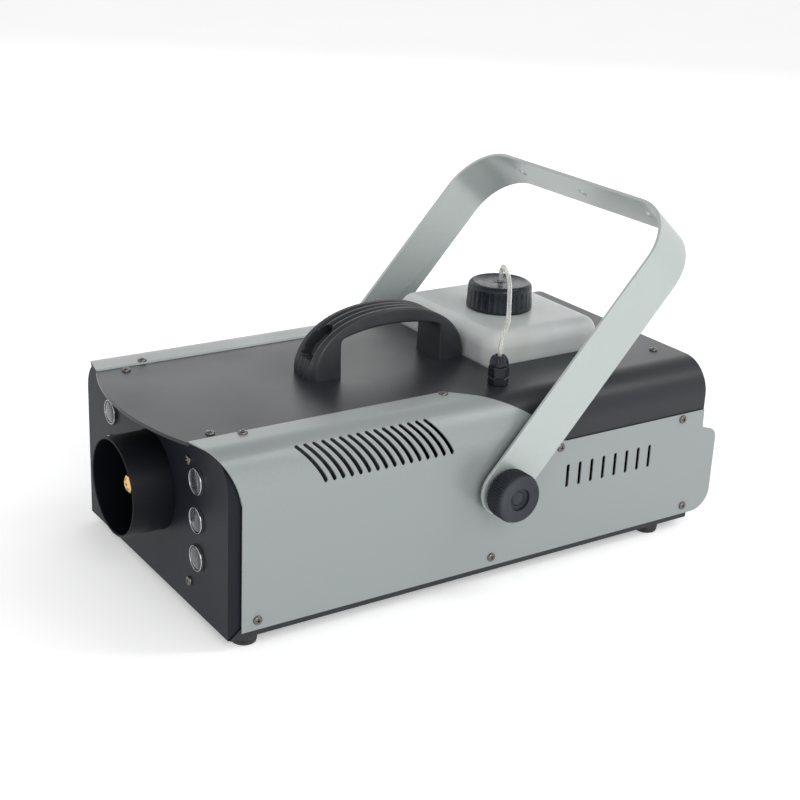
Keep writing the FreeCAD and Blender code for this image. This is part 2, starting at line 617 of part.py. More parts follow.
def mains_inlet():
    """Inlet with three flat pins in a recess, and a fuse drawer above it."""
    face, x, z = "rear_panel_y + sheet_thick", "inlet_x", "fitting_height"
    depth, recess_depth, pin_length = 20, 14, 15
    recess_width, recess_height, drawer_width, drawer_height, drawer_rise = 26, 18, 28, 12, 10
    flange = centred("inlet_flange", x, face, z, 52, 3, 54)
    barrel = centred("inlet_barrel", x, "rear_panel_y - %g" % depth, z, INLET_BARREL[0],
                     "%g + sheet_thick" % depth, INLET_BARREL[1])
    recess_floor = "rear_panel_y - %g" % recess_depth
    cavity = centred("inlet_cavity", x, recess_floor, z + " - 9", recess_width, 30, recess_height)
    drawer_bay = centred("inlet_drawer_bay", x, recess_floor, z + " + %g" % drawer_rise, drawer_width, 30,
                         drawer_height)
    blades = [centred("inlet_pin_%d" % i, x + " + (%g)" % dx, recess_floor + " - 0.5", z + " + (%g)" % dz, 2,
                      pin_length, 4) for i, (dx, dz) in enumerate(((-7, -10), (0, -6), (7, -10)))]
    body = cut("inlet_body", fuse("inlet_shell", flange, barrel), cavity, drawer_bay)
    node("mains_inlet", fuse("mains_inlet", body, *blades))
    node("fuse_drawer", centred("fuse_drawer", x, recess_floor + " + %g" % FIT, z + " + %g" % drawer_rise,
                                drawer_width - 2 * FIT, "%g + sheet_thick + 3.6" % (recess_depth - FIT),
                                drawer_height - 2 * FIT))


def power_switch():
    face, x, z = "rear_panel_y + sheet_thick", "switch_x", "fitting_height"
    depth, well_depth, well_width, well_height, rocker_width = 18, 12, 17, 25.2, 16
    bezel = centred("switch_bezel", x, face, z, 26, 2, 32)
    barrel = centred("switch_barrel", x, "rear_panel_y - %g" % depth, z, SWITCH_BARREL[0],
                     "%g + sheet_thick" % depth, SWITCH_BARREL[1])
    well = centred("switch_well", x, "rear_panel_y - %g" % well_depth, z, well_width, 30, well_height)
    node("switch_housing", cut("switch_housing", fuse("switch_frame", bezel, barrel), well))
    tilt = Rotation(Vector(1, 0, 0), -8)
    back, half, crest, valley = -6, 11, 7.4, 5.8
    node("power_rocker", extrusion("rocker_wedge", [[
        (back, -half, 1), (crest, -half - 0.2, 1), (valley, 0, 0), (crest, half + 0.2, 1), (back, half, 1)]],
        x + " - %g" % (rocker_width / 2), "rear_panel_y - 0.8", z, tilt * SIDE_VIEW, rocker_width))


def remote_socket():
    face, x, z = "rear_panel_y + sheet_thick", "socket_x", "fitting_height"
    depth, hollow_depth, pin_circle, pin_radius = 18, 8, 4.5, 1.1
    ring = rod("socket_ring", Y_AXIS, x, face, z, 13.5, 3)
    shell = rod("socket_shell", Y_AXIS, x, "rear_panel_y - %g" % depth, z, SOCKET_RADIUS,
                "%g + sheet_thick" % depth)
    hollow = rod("socket_hollow", Y_AXIS, x, "rear_panel_y - %g" % hollow_depth, z, 9, 30)
    pins = []
    for i in range(3):
        angle = math.radians(90 + 120 * i)
        pins.append(rod("socket_pin_%d" % i, Y_AXIS, x + " + (%g)" % (pin_circle * math.cos(angle)),
                        "rear_panel_y - %g" % (hollow_depth + 1),
                        z + " + (%g)" % (pin_circle * math.sin(angle)), pin_radius, 9))
    body = cut("socket_body", fuse("socket_cup", ring, shell), hollow)
    node("remote_socket", fuse("remote_socket", body, *pins))


mains_inlet()
power_switch()
remote_socket()

# ---------------------------------------------------------------- tank, cap and hose


def around_tank(name, gap, bottom, top):
    """A block round the tank, wider than it by gap on each side."""
    return box(name, "tank_x - tank_width / 2 - (%g)" % gap, "tank_y - tank_length / 2 - (%g)" % gap, bottom,
               "tank_width + 2 * (%g)" % gap, "tank_length + 2 * (%g)" % gap, "%s - (%s)" % (top, bottom))


def fluid_tank():
    top = "body_top + tank_proud"
    edge, wall = dim("tank_edge"), dim("tank_wall")
    outer_block = round_edges("tank_block_round", around_tank("tank_block", 0, "tank_bottom", top), edge,
                              lambda edge_line: True)
    inner_block = round_edges("tank_hollow_round", around_tank("tank_hollow", -wall, "tank_bottom + tank_wall",
                                                               top + " - tank_wall"), edge - wall,
                              lambda edge_line: True)
    neck = rod("tank_neck", Z_AXIS, "cap_x", "cap_y", top + " - 5", "neck_radius", 23.3)
    mouth = rod("tank_mouth", Z_AXIS, "cap_x", "cap_y", top + " - 8", "neck_radius - 2.5", 40)
    node("fluid_tank", cut("fluid_tank", fuse("tank_outer", outer_block, neck),
                           fuse("tank_inner", inner_block, mouth)))


fluid_tank()


def tank_well():
    """Open box that hangs under the top cover and holds the tank."""
    gap, wall, rim = 1.2, 1, 3.5
    floor = "tank_bottom - 1.1"
    outer = around_tank("well_outer", gap + wall, floor, "body_top - 2 * sheet_thick")
    inner = around_tank("well_inner", gap, floor + " + %g" % wall, "body_top + tank_proud")
    flange = around_tank("well_flange", gap + rim, "body_top - 3 * sheet_thick", "body_top - 2 * sheet_thick")
    node("tank_well", cut("tank_well", fuse("well_shape", outer, flange), inner))


tank_well()


def cap():
    """Screw cap, and the liner that lies inside it and rises with it. The hose passes through both."""
    crown_depth, liner_gap, liner_thick, edge_radius = 3, 0.1, 1.8, 3
    skirt = rod("cap_skirt", Z_AXIS, "cap_x", "cap_y", "cap_bottom", "cap_radius", "cap_height")
    crown = round_edges("cap_crown", skirt, edge_radius,
                        lambda edge: edge.BoundBox.ZMin > dim("cap_bottom") + 1 and edge.BoundBox.ZLength < 0.1)
    bore = rod("cap_thread", Z_AXIS, "cap_x", "cap_y", "cap_bottom - 1", "neck_radius + %g" % FIT,
               "cap_height + 1 - %g" % crown_depth)
    hole = rod("cap_hole", Z_AXIS, "cap_x", "cap_y", "cap_bottom", "hose_radius + 0.8", 60)
    node("tank_cap", cut("tank_cap", crown, bore, hole))
    disc = rod("cap_liner_disc", Z_AXIS, "cap_x", "cap_y",
               "cap_bottom + cap_height - %g" % (crown_depth + liner_gap + liner_thick), "neck_radius - 0.5",
               liner_thick)
    node("cap_liner", cut("cap_liner", disc, rod("cap_liner_hole", Z_AXIS, "cap_x", "cap_y", "cap_bottom",
                                                 "hose_radius + 0.6", 60)))


cap()


def tube_path(points):
    """Straight runs joined by tangent arcs, each as large as its two runs allow."""
    route = [Vector(*point) for point in points]
    edges, radii, start = [], [], route[0]
    for before, corner, after in zip(route, route[1:], route[2:]):
        into, out = (corner - before), (after - corner)
        reach = 0.45 * min(into.Length, out.Length)
        turn = into.getAngle(out)
        radius = reach / math.tan(turn / 2)
        into.normalize()
        out.normalize()
        first, last = corner - into * reach, corner + out * reach
        inward = (out - into).normalize()
        middle = corner + inward * (radius / math.cos(turn / 2) - radius)
        edges += [Part.LineSegment(start, first).toShape(), Part.Arc(first, middle, last).toShape()]
        radii.append(round(radius, 1))
        start = last
    edges.append(Part.LineSegment(start, route[-1]).toShape())
    return Part.Wire(edges), radii


def feed_hose():
    path, radii = tube_path(HOSE_ROUTE)
    radius = dim("hose_radius")
    ring = Part.Wire(Part.makeCircle(radius, Vector(*HOSE_ROUTE[0]), Vector(0, 0, 1)))
    tube = path.makePipeShell([ring], True, False)
    expected = math.pi * radius ** 2 * path.Length
    print("hose length %.1f radii %s volume ratio %.4f" % (path.Length, radii, tube.Volume / expected))
    obj = doc.addObject("Part::Feature", "feed_hose")
    obj.Shape = tube
    node("feed_hose", obj)
    filter_bottom, filter_height, hose_start = 42, 16, HOSE_ROUTE[0][2]
    filter_top = filter_bottom + filter_height
    node("pickup_tube", rod("pickup_tube", Z_AXIS, "cap_x", "cap_y", filter_top, "hose_radius",
                            hose_start - filter_top))
    node("pickup_filter", rod("pickup_filter", Z_AXIS, "cap_x", "cap_y", filter_bottom, 8, filter_height))


feed_hose()


def gland():
    """Cable gland: hexagon base on a threaded stem, and a hexagon nut with a dome that closes on the hose."""
    x, y, z = "gland_x", "gland_y", "body_top - sheet_thick"
    stem_depth, stem_length, dome_foot, dome_top, nut_gap = 12, 22, 8, 5, 0.1
    nut_base = z + " + gland_base + %g" % nut_gap
    dome_base = nut_base + " + gland_grip"
    body = fuse("gland_shape", prism("gland_base", Z_AXIS, x, y, z, "gland_hex", "gland_base"),
                rod("gland_stem", Z_AXIS, x, y, "body_top - %g" % stem_depth, "gland_thread", stem_length))
    body_bore = rod("gland_bore", Z_AXIS, x, y, ABOVE - THROUGH, "hose_radius + %g" % FIT, 80)
    node("gland_body", cut("gland_body", body, body_bore))
    grip = prism("gland_grip", Z_AXIS, x, y, nut_base, "gland_hex", "gland_grip")
    dome = cone("gland_dome", Z_AXIS, x, y, dome_base, dome_foot, dome_top, "gland_dome")
    thread = rod("gland_nut_thread", Z_AXIS, x, y, z, "gland_thread + %g" % SLIDING_FIT,
                 "sheet_thick + %g" % (stem_length - stem_depth + FIT))
    nut_bore = rod("gland_nut_bore", Z_AXIS, x, y, ABOVE - THROUGH, "hose_radius + %g" % FIT, 80)
    mouth = cone("gland_nut_mouth", Z_AXIS, x, y, dome_base + " - 1.6", "hose_radius + %g" % FIT,
                 "hose_radius + 1.8", "gland_dome + 1.6")
    node("gland_nut", cut("gland_nut", fuse("gland_nut_shape", grip, dome), thread, nut_bore, mouth))


gland()

# ---------------------------------------------------------------- carry handle


def carry_handle():
    """Moulded arch: a broad band along Y with a foot at each end on the top cover."""
    base = dim("body_top") - dim("sheet_thick")
    front, rear = dim("handle_front"), dim("handle_rear")
    front_leg, rear_leg = front + dim("foot_length"), rear - dim("foot_length")
    peak = dim("body_top") + dim("handle_height")
    underside, foot_round, crown_round, arch_round = peak - 11, 20, 40, 60
    shape = extrusion("handle_arch", [[
        (front, base, 0), (front_leg, base, 0), (front_leg, base + 32, 5),
        (front_leg + 38, underside, arch_round), (rear_leg - 34, underside, arch_round),
        (rear_leg, base + 34, 5), (rear_leg, base, 0), (rear, base, 0),
        (rear, base + 24, foot_round), (rear - 22, peak - 8, crown_round), (rear - 62, peak + 1, arch_round),
        (front + 62, peak + 1, arch_round), (front + 20, peak - 10, crown_round),
        (front, base + 22, foot_round)]], "-handle_width / 2", 0, 0, SIDE_VIEW, "handle_width")
    pilots = [rod("handle_pilot_%d" % i, Z_AXIS, 0, y, ABOVE, "handle_bolt + %g" % SLIDING_FIT, 26)
              for i, y in enumerate(HANDLE_SCREWS)]
    return cut("carry_handle", shape, *pilots)


node("carry_handle", carry_handle())

# ---------------------------------------------------------------- bracket and clamp knobs


def bracket():
    """U strap from one pivot over the top to the other, built upright about the pivot and then tilted."""
    def hoop(name, inset, low):
        bend = "strap_bend - %s" % inset
        lower = box(name + "_low", "-strap_outer + %s" % inset, "-strap_width / 2", low,
                    "2 * strap_outer - 2 * %s" % inset, "strap_width", "strap_reach - strap_bend - (%s)" % low)
        upper = box(name + "_high", "-strap_outer + strap_bend", "-strap_width / 2", low,
                    "2 * strap_outer - 2 * strap_bend", "strap_width", "strap_reach - %s - (%s)" % (inset, low))
        rounds = [rod("%s_bend_%s" % (name, side), Y_AXIS, "%d * (strap_outer - strap_bend)" % sign,
                      "-strap_width / 2", "strap_reach - strap_bend", bend, "strap_width")
                  for side, sign in SIDES.items()]
        return fuse(name, lower, upper, *rounds)

    past_reach = 300
    strap = cut("strap_hoop", hoop("strap_outer_hoop", 0, -30), hoop("strap_inner_hoop", "strap_thick", -60))
    ends = fuse("strap_ends",
                rod("strap_end_round", X_AXIS, "-strap_outer", 0, 0, "strap_width / 2", "2 * strap_outer"),
                box("strap_end_straight", "-strap_outer", "-strap_width / 2", 0, "2 * strap_outer",
                    "strap_width", past_reach))
    hangs = [rod("hang_hole_%d" % i, Z_AXIS, "%d * strap_hole_pitch" % i, 0, "strap_reach - 20",
                 "strap_hole_radius", 40) for i in (-1, 0, 1)]
    pivot = rod("strap_pivot_hole", X_AXIS, -past_reach / 2, 0, 0, "stud_radius + stud_clear", past_reach)
    upright = cut("strap_upright", common("strap_trimmed", strap, ends), pivot, *hangs)
    carrier = doc.addObject("Part::Compound", "bracket")
    carrier.Links = [upright]
    place(carrier, 0, "pivot_y", "pivot_height", Rotation(Vector(1, 0, 0), -dim("bracket_tilt")))
    return carrier


node("mounting_bracket", bracket())


def pivots():
    spacer_radius, washer_radius, washer_outer, knob_inner = 15, 12.5, 1.8, 1.85
    stud_start, dish_depth, dish_outer, dish_inner, knob_edge = 112, 2, 9.5, 5, 1.5
    post_height, foot_width, nut_radius, nut_depth = 92, 18.4, 7.5, 6.5
    post_start = "pivot_y - post_depth / 2"
    for side, sign in SIDES.items():
        def along(name, start, end, radius, make=rod):
            """A bar about the pivot axis between two distances from the middle."""
            low = "%s" % start if sign > 0 else "-(%s)" % end
            return make(name + "_" + side, X_AXIS, low, "pivot_y", "pivot_height", radius,
                        "(%s) - (%s)" % (end, start))

        def stud_hole(name):
            return along(name, 110, 160, "stud_radius + stud_clear")

        spacer = along("spacer_disc", "body_width / 2", "strap_outer - strap_thick - 0.05", spacer_radius)
        node("pivot_spacer_" + side, cut("pivot_spacer_" + side, spacer, stud_hole("spacer_hole")))
        washer = along("washer_disc", "strap_outer + 0.05", "strap_outer + %g" % washer_outer, washer_radius)
        node("knob_washer_" + side, cut("knob_washer_" + side, washer, stud_hole("washer_hole")))
        head = along("knob_head", "strap_outer + %g" % knob_inner, "knob_face", "knob_radius")
        chamfered = round_edges("knob_rounded_" + side, head, knob_edge,
                                lambda edge: edge.Curve.TypeId == "Part::GeomCircle"
                                and abs(edge.Curve.Center.x) > dim("knob_face") - 1)
        dish = cut("knob_dish_" + side,
                   along("knob_dish_outer", "knob_face - %g" % dish_depth, "knob_face + 1", dish_outer),
                   along("knob_dish_inner", "knob_face - %g" % (dish_depth + 1), "knob_face + 2", dish_inner))
        stud = along("knob_stud", stud_start, "strap_outer + 3", "stud_radius")
        node("clamp_knob_" + side, fuse("clamp_knob_" + side, cut("knob_turned_" + side, chamfered, dish),
                                        stud))
        post = box("post_plate_" + side, "%d * post_x - post_thick / 2" % sign, post_start, TRAY_FLOOR,
                   "post_thick", "post_depth", post_height)
        foot_middle = "%d * (post_x + post_thick / 2 - %g)" % (sign, foot_width / 2 + 2)
        foot = box("post_foot_" + side, foot_middle + " - %g" % (foot_width / 2), post_start, TRAY_FLOOR,
                   foot_width, "post_depth", "post_thick")
        nut_end = "post_x - post_thick / 2"
        weld_nut = along("weld_nut", nut_end + " - %g" % nut_depth, nut_end, nut_radius, prism)
        y, z = SIDE_SCREWS[1]
        screw_hole = rod("post_screw_hole_" + side, X_AXIS, "%d * post_x - 5" % sign, y, z, "screw_hole", 10)
        node("pivot_post_" + side, cut("pivot_post_" + side, fuse("post_shape_" + side, post, foot, weld_nut),
                                       stud_hole("post_hole"), screw_hole))


pivots()

# ---------------------------------------------------------------- check and write

doc.recompute()
for obj in doc.Objects:
    if "Invalid" in obj.State or "Error" in obj.State:
        raise RuntimeError("%s failed: %s" % (obj.Name, obj.State))

os.makedirs("parts", exist_ok=True)
for name, obj in NODES.items():
    shape = obj.Shape
    if shape.isNull() or not shape.isValid() or not shape.Solids:
        raise RuntimeError("%s has no valid solid" % name)
    shape.exportStep("parts/%s.step" % name)
print("%d nodes written" % len(NODES))
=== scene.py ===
import json
import math

import bmesh
import bpy
from mathutils import Matrix, Vector


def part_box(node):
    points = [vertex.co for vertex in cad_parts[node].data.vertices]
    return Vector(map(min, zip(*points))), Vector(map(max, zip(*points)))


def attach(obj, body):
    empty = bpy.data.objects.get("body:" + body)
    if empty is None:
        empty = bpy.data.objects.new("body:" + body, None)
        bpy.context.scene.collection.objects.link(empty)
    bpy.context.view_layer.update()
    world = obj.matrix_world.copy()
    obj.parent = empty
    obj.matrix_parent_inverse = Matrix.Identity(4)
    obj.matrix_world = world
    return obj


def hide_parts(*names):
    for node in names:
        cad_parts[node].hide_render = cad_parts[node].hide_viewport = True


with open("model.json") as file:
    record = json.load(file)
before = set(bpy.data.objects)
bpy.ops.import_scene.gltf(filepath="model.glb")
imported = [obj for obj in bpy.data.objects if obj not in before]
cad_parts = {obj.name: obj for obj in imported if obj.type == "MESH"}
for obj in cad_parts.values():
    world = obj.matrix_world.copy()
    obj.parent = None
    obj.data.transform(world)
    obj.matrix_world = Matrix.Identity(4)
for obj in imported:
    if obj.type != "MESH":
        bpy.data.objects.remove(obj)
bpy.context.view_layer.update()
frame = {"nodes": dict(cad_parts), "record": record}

MM = 0.001
SAME_POINT = 1e-6
CAD_SAME_POINT = 2e-6
NODES = frame["nodes"]
RECORD = frame["record"]
NODE_SLOT = {part["node"]: part["material_slot"] for part in RECORD["subparts"]}
NODE_BODY = {name: body for body, names in RECORD["behaviour"]["bodies"].items() for name in names}
SIDES = {"right": 1, "left": -1}

# ---------------------------------------------------------------- camera

CAMERA_PLACE = Vector((0.9989, -0.6726, 0.5771))
CAMERA_AZIMUTH = math.radians(55.759)
CAMERA_ELEVATION = math.radians(20.966)
CAMERA_ROLL = math.radians(2.633)
CAMERA_LENS = 68.3
CAMERA_SENSOR = 36


def add_camera():
    """A camera that looks along its azimuth and elevation, with a slight roll."""
    level = Vector((math.cos(CAMERA_AZIMUTH), math.sin(CAMERA_AZIMUTH), 0))
    forward = Vector((-math.sin(CAMERA_AZIMUTH) * math.cos(CAMERA_ELEVATION),
                      math.cos(CAMERA_AZIMUTH) * math.cos(CAMERA_ELEVATION), -math.sin(CAMERA_ELEVATION)))
    upright = level.cross(forward)
    right = math.cos(CAMERA_ROLL) * level + math.sin(CAMERA_ROLL) * upright
    up = math.cos(CAMERA_ROLL) * upright - math.sin(CAMERA_ROLL) * level
    camera = bpy.data.objects.new("camera", bpy.data.cameras.new("camera"))
    camera.data.lens = CAMERA_LENS
    camera.data.sensor_width = CAMERA_SENSOR
    rotation = Matrix((right, up, -forward)).transposed().to_4x4()
    camera.matrix_world = Matrix.Translation(CAMERA_PLACE) @ rotation
    bpy.context.scene.collection.objects.link(camera)
    bpy.context.scene.camera = camera


add_camera()

# ---------------------------------------------------------------- materials


class Look:
    """A node material with helpers that add procedural layers to its shader."""

    def __init__(self, name, colour, rough, metal=0.0, **inputs):
        self.material = bpy.data.materials.new(name)
        self.material.use_nodes = True
        self.tree = self.material.node_tree
        self.shader = self.tree.nodes["Principled BSDF"]
        self.rough = rough
        self.colour = (*colour, 1)
        self.set("Base Color", self.colour)
        self.set("Roughness", rough)
        self.set("Metallic", metal)
        for key, value in inputs.items():
            self.set(key.replace("_", " "), value)
        self.place = self.node("ShaderNodeTexCoord").outputs["Object"]
        self.height = None

    def set(self, key, value):
        self.shader.inputs[key].default_value = value

    def node(self, kind, **properties):
        made = self.tree.nodes.new(kind)
        for key, value in properties.items():
            setattr(made, key, value)
        return made

    def noise(self, scale, detail=2.0, stretch=(1, 1, 1)):
        """Noise with about scale lumps a metre."""
        mapping = self.node("ShaderNodeMapping")
        mapping.inputs["Scale"].default_value = stretch
        self.tree.links.new(self.place, mapping.inputs["Vector"])
        noise = self.node("ShaderNodeTexNoise")
        noise.inputs["Scale"].default_value = scale
        noise.inputs["Detail"].default_value = detail
        self.tree.links.new(mapping.outputs["Vector"], noise.inputs["Vector"])
        return noise.outputs["Fac"]

    def ranged(self, source, low, high, start=0.3, end=0.7):
        """Map a noise value to the range from low to high."""
        remap = self.node("ShaderNodeMapRange")
        for key, value in (("From Min", start), ("From Max", end), ("To Min", low), ("To Max", high)):
            remap.inputs[key].default_value = value
        self.tree.links.new(source, remap.inputs["Value"])
        return remap.outputs["Result"]

    def tint(self, source, colour, low=0.0, high=1.0):
        """Blend from the base colour to another one, as far as source says."""
        mix = self.node("ShaderNodeMix", data_type="RGBA")
        self.tree.links.new(self.ranged(source, low, high), mix.inputs["Factor"])
        mix.inputs["A"].default_value = self.colour
        mix.inputs["B"].default_value = (*colour, 1)
        self.tree.links.new(mix.outputs["Result"], self.shader.inputs["Base Color"])
        return self

    def uneven(self, source, spread):
        """Let the roughness vary by spread either way."""
        value = self.ranged(source, self.rough - spread, self.rough + spread)
        self.tree.links.new(value, self.shader.inputs["Roughness"])
        return self

    def bumpy(self, source, height, strength=1.0):
        """Raise the surface by up to height in metres; a second call adds to the first."""
        bump = self.node("ShaderNodeBump")
        bump.inputs["Strength"].default_value = strength
        bump.inputs["Distance"].default_value = height
        self.tree.links.new(source, bump.inputs["Height"])
        if self.height:
            self.tree.links.new(self.height, bump.inputs["Normal"])
        self.height = bump.outputs["Normal"]
        self.tree.links.new(self.height, self.shader.inputs["Normal"])
        return self


def powder_coat(name, colour, rough, flake, metal=0.0, shine=0.5):
    """Sprayed paint: fine orange peel, a soft drift in gloss and tone, and small flakes."""
    look = Look(name, colour, rough, metal, Coat_Weight=0.06, Coat_Roughness=0.3,
                Specular_IOR_Level=shine)
    look.tint(look.noise(2600, 1), flake)
    look.uneven(look.noise(14, 4), 0.04)
    look.bumpy(look.noise(900, 3), 0.00004, 0.5)
    return look.material


def moulded(name, colour, rough, grain=0.00004, shine=0.5):
    """Moulded plastic with a spark-eroded grain and slightly lighter patches."""
    look = Look(name, colour, rough, Specular_IOR_Level=shine)
    look.tint(look.noise(60, 4), [min(1, 1.5 * value) for value in colour])
    look.uneven(look.noise(300, 3), 0.06)
    look.bumpy(look.noise(2200, 2), grain, 0.6)
    return look.material


def metal(name, colour, rough):
    """Bare metal with fine machining marks."""
    look = Look(name, colour, rough, 1.0)
    look.uneven(look.noise(400, 3), 0.05)
    look.bumpy(look.noise(1500, 2), 0.00001, 0.4)
    return look.material


def tank_plastic():
    """Milky blow-moulded plastic."""
    look = Look("tank_plastic", (0.47, 0.49, 0.475), 0.36, Subsurface_Weight=0.25, Subsurface_Scale=0.01)
    look.tint(look.noise(18, 3), (0.54, 0.575, 0.58))
    look.uneven(look.noise(120, 3), 0.06)
    look.bumpy(look.noise(90, 3), 0.0002, 0.35)
    return look.material


def clear_hose():
    """Clear soft tubing, a little yellowed."""
    look = Look("clear_hose", (0.93, 0.94, 0.92), 0.12, Transmission_Weight=0.75, IOR=1.42)
    look.tint(look.noise(160, 2), (0.86, 0.86, 0.80))
    look.uneven(look.noise(500, 2), 0.05)
    look.bumpy(look.noise(700, 2), 0.00003, 0.4)
    return look.material


def lamp_lens():
    """Clear moulded lens, tinted grey as painted shade of the lamps' dark inside."""
    look = Look("lamp_lens", (0.30, 0.32, 0.35), 0.10, Transmission_Weight=0.9, IOR=1.49)
    look.uneven(look.noise(900, 2), 0.03)
    look.bumpy(look.noise(600, 2), 0.00002, 0.4)
    return look.material


def circuit_board():
    """Green board with faint tracks along it."""
    look = Look("circuit_board", (0.02, 0.10, 0.04), 0.35)
    look.tint(look.noise(260, 1, (1, 6, 1)), (0.05, 0.22, 0.09))
    look.bumpy(look.noise(500, 1), 0.00002)
    return look.material


def foot_rubber():
    """Matt black rubber."""
    look = Look("foot_rubber", (0.012, 0.012, 0.013), 0.75)
    look.tint(look.noise(150, 3), (0.03, 0.03, 0.03))
    look.bumpy(look.noise(1400, 3), 0.00008)
    return look.material


SILVER = powder_coat("silver_paint", (0.235, 0.26, 0.258), 0.36, (0.285, 0.315, 0.312), 0.2)
# A lighter copy of the silver paint for the bracket: painted light, for the brighter light the bracket
# catches.
BRACKET_SILVER_LIT = powder_coat("bracket_paint_lit", (0.38, 0.42, 0.41), 0.32, (0.45, 0.49, 0.48), 0.3)
BLACK = powder_coat("black_paint", (0.013, 0.015, 0.019), 0.36, (0.020, 0.023, 0.027), shine=0.3)
# A darker, duller copy of the black paint for the front panel: painted shade, for the little light its face
# gets.
FRONT_BLACK_SHADED = powder_coat("front_paint_shaded", (0.008, 0.010, 0.015), 0.42, (0.013, 0.015, 0.021), shine=0.1)
# A near-black copy of the black paint for the outlet tube: painted shade, for the shade on and inside the
# tube.
TUBE_BLACK_SHADED = powder_coat("tube_paint_shaded", (0.003, 0.004, 0.006), 0.5, (0.005, 0.006, 0.009), shine=0.15)
PLASTIC = moulded("black_plastic", (0.014, 0.016, 0.019), 0.38, shine=0.4)
KNOB_PLASTIC = moulded("knob_plastic", (0.012, 0.015, 0.020), 0.45, shine=0.4)
GLOSSY = moulded("glossy_plastic", (0.007, 0.009, 0.013), 0.24, 0.00002, shine=0.3)
CAP_PLASTIC = moulded("cap_plastic", (0.008, 0.011, 0.015), 0.3, 0.00002, shine=0.32)
STEEL = metal("zinc_steel", (0.62, 0.61, 0.58), 0.28)
SCREW = metal("nickel_screw", (0.16, 0.152, 0.14), 0.25)
BRASS = metal("brass", (0.80, 0.55, 0.22), 0.26)
CHROME = metal("chrome", (0.42, 0.43, 0.45), 0.16)
# A dark metal for the reflector cups: painted shade, for the dark inside of each lamp.
CUP_SHADED = metal("lamp_cup", (0.12, 0.13, 0.14), 0.3)
EMITTER = moulded("lamp_emitter", (0.60, 0.55, 0.30), 0.3)
RED = moulded("red_plastic", (0.45, 0.02, 0.015), 0.3)
RUBBER = foot_rubber()
TANK = tank_plastic()
HOSE = clear_hose()
LENS_SHADED = lamp_lens()
SLOT_LOOK = {
    "silver_paint": SILVER, "black_paint": BLACK, "black_plastic": PLASTIC, "brass": BRASS,
    "cast_aluminium": metal("cast_aluminium", (0.55, 0.55, 0.54), 0.5), "zinc_steel": STEEL,
    "coil_tape": moulded("coil_tape", (0.09, 0.055, 0.008), 0.35), "clear_hose": HOSE,
    "circuit_board": circuit_board(), "red_rocker": RED, "tank_plastic": TANK, "screw_steel": SCREW,
    "foot_rubber": RUBBER, "chrome_ring": CHROME, "lamp_lens": LENS_SHADED,
}

for name, obj in NODES.items():
    obj.data.materials.clear()
    obj.data.materials.append(SLOT_LOOK[NODE_SLOT[name]])

# ---------------------------------------------------------------- building pieces


def add_piece(name, verts, faces, node, look, replaces=True, crease=35):
    """A mesh piece that rides with a CAD node's body, in the look it is given."""
    mesh = bpy.data.meshes.new(name)
    mesh.from_pydata(verts, [], faces)
    shape = bmesh.new()
    shape.from_mesh(mesh)
    bmesh.ops.remove_doubles(shape, verts=shape.verts, dist=SAME_POINT)
    bmesh.ops.recalc_face_normals(shape, faces=shape.faces)
    shape.to_mesh(mesh)
    shape.free()
    piece = bpy.data.objects.new(name, mesh)
    bpy.context.scene.collection.objects.link(piece)
    return dress(piece, node, look, replaces, crease)


def dress(piece, node, look, replaces=True, crease=35):
    """Give a piece its material, its smooth shading, and its place in the table."""
    piece.data.materials.clear()
    piece.data.materials.append(look)
    piece.data.shade_smooth()
    piece.data.set_sharp_from_angle(angle=math.radians(crease))
    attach(piece, NODE_BODY[node])
    if replaces:
        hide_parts(node)
    return piece


def applied(piece, *modifiers):
    """Apply modifiers, each given as (type, {setting: value})."""
    for kind, settings in modifiers:
        modifier = piece.modifiers.new(kind, kind)
        for key, value in settings.items():
            setattr(modifier, key, value)
    bpy.context.view_layer.update()
    done = bpy.data.meshes.new_from_object(piece.evaluated_get(bpy.context.evaluated_depsgraph_get()))
    piece.modifiers.clear()
    piece.data = done


def softened(node, look, width=0.35 * MM, segments=2):
    """A copy of a CAD node with small rounded edges, as painted sheet or moulded plastic has."""
    mesh = NODES[node].data.copy()
    shape = bmesh.new()
    shape.from_mesh(mesh)
    bmesh.ops.remove_doubles(shape, verts=shape.verts, dist=CAD_SAME_POINT)
    bmesh.ops.dissolve_limit(shape, angle_limit=math.radians(0.5), verts=shape.verts,
                             edges=shape.edges)
    shape.to_mesh(mesh)
    shape.free()
    piece = bpy.data.objects.new(node + "_skin", mesh)
    bpy.context.scene.collection.objects.link(piece)
    applied(piece, ("BEVEL", {"width": width, "segments": segments, "limit_method": "ANGLE",
                              "angle_limit": math.radians(30), "use_clamp_overlap": False}))
    dress(piece, node, look)
    applied(piece, ("WEIGHTED_NORMAL", {"keep_sharp": True}))


def turned(profile, segments, wave=None, closed=False):
    """Vertices and faces of a shape turned about Z.

    Each profile point is (radius, height) or (radius, height, groove depth).
    """
    verts, faces, rings = [], [], []
    for radius, height, *groove in profile:
        if radius == 0:
            rings.append([len(verts)] * segments)
            verts.append((0, 0, height))
            continue
        rings.append(range(len(verts), len(verts) + segments))
        for i in range(segments):
            angle = 2 * math.pi * i / segments
            reach = radius - (groove[0] * wave(angle) if groove else 0)
            verts.append((reach * math.cos(angle), reach * math.sin(angle), height))
    pairs = list(zip(rings, rings[1:])) + ([(rings[-1], rings[0])] if closed else [])
    for low, high in pairs:
        for i in range(segments):
            j = (i + 1) % segments
            corners = list(dict.fromkeys((low[i], low[j], high[j], high[i])))
            if len(corners) > 2:
                faces.append(corners)
    return verts, faces


def grooves(count, sharpness):
    """A wave round the rim that is 0 on the ribs and 1 in the grooves."""
    return lambda angle: (0.5 - 0.5 * math.cos(count * angle)) ** sharpness


def moved(verts, place, axis=(0, 0, 1)):
    """Turn points from the Z axis to another axis and carry them to a place."""
    turn = Vector((0, 0, 1)).rotation_difference(Vector(axis)).to_matrix()
    return [turn @ Vector(vert) + Vector(place) for vert in verts]


def scaled(profile):
    """A profile in metres. Every profile, and each number for one, is given in millimetres."""
    return [tuple(value * MM for value in point) for point in profile]


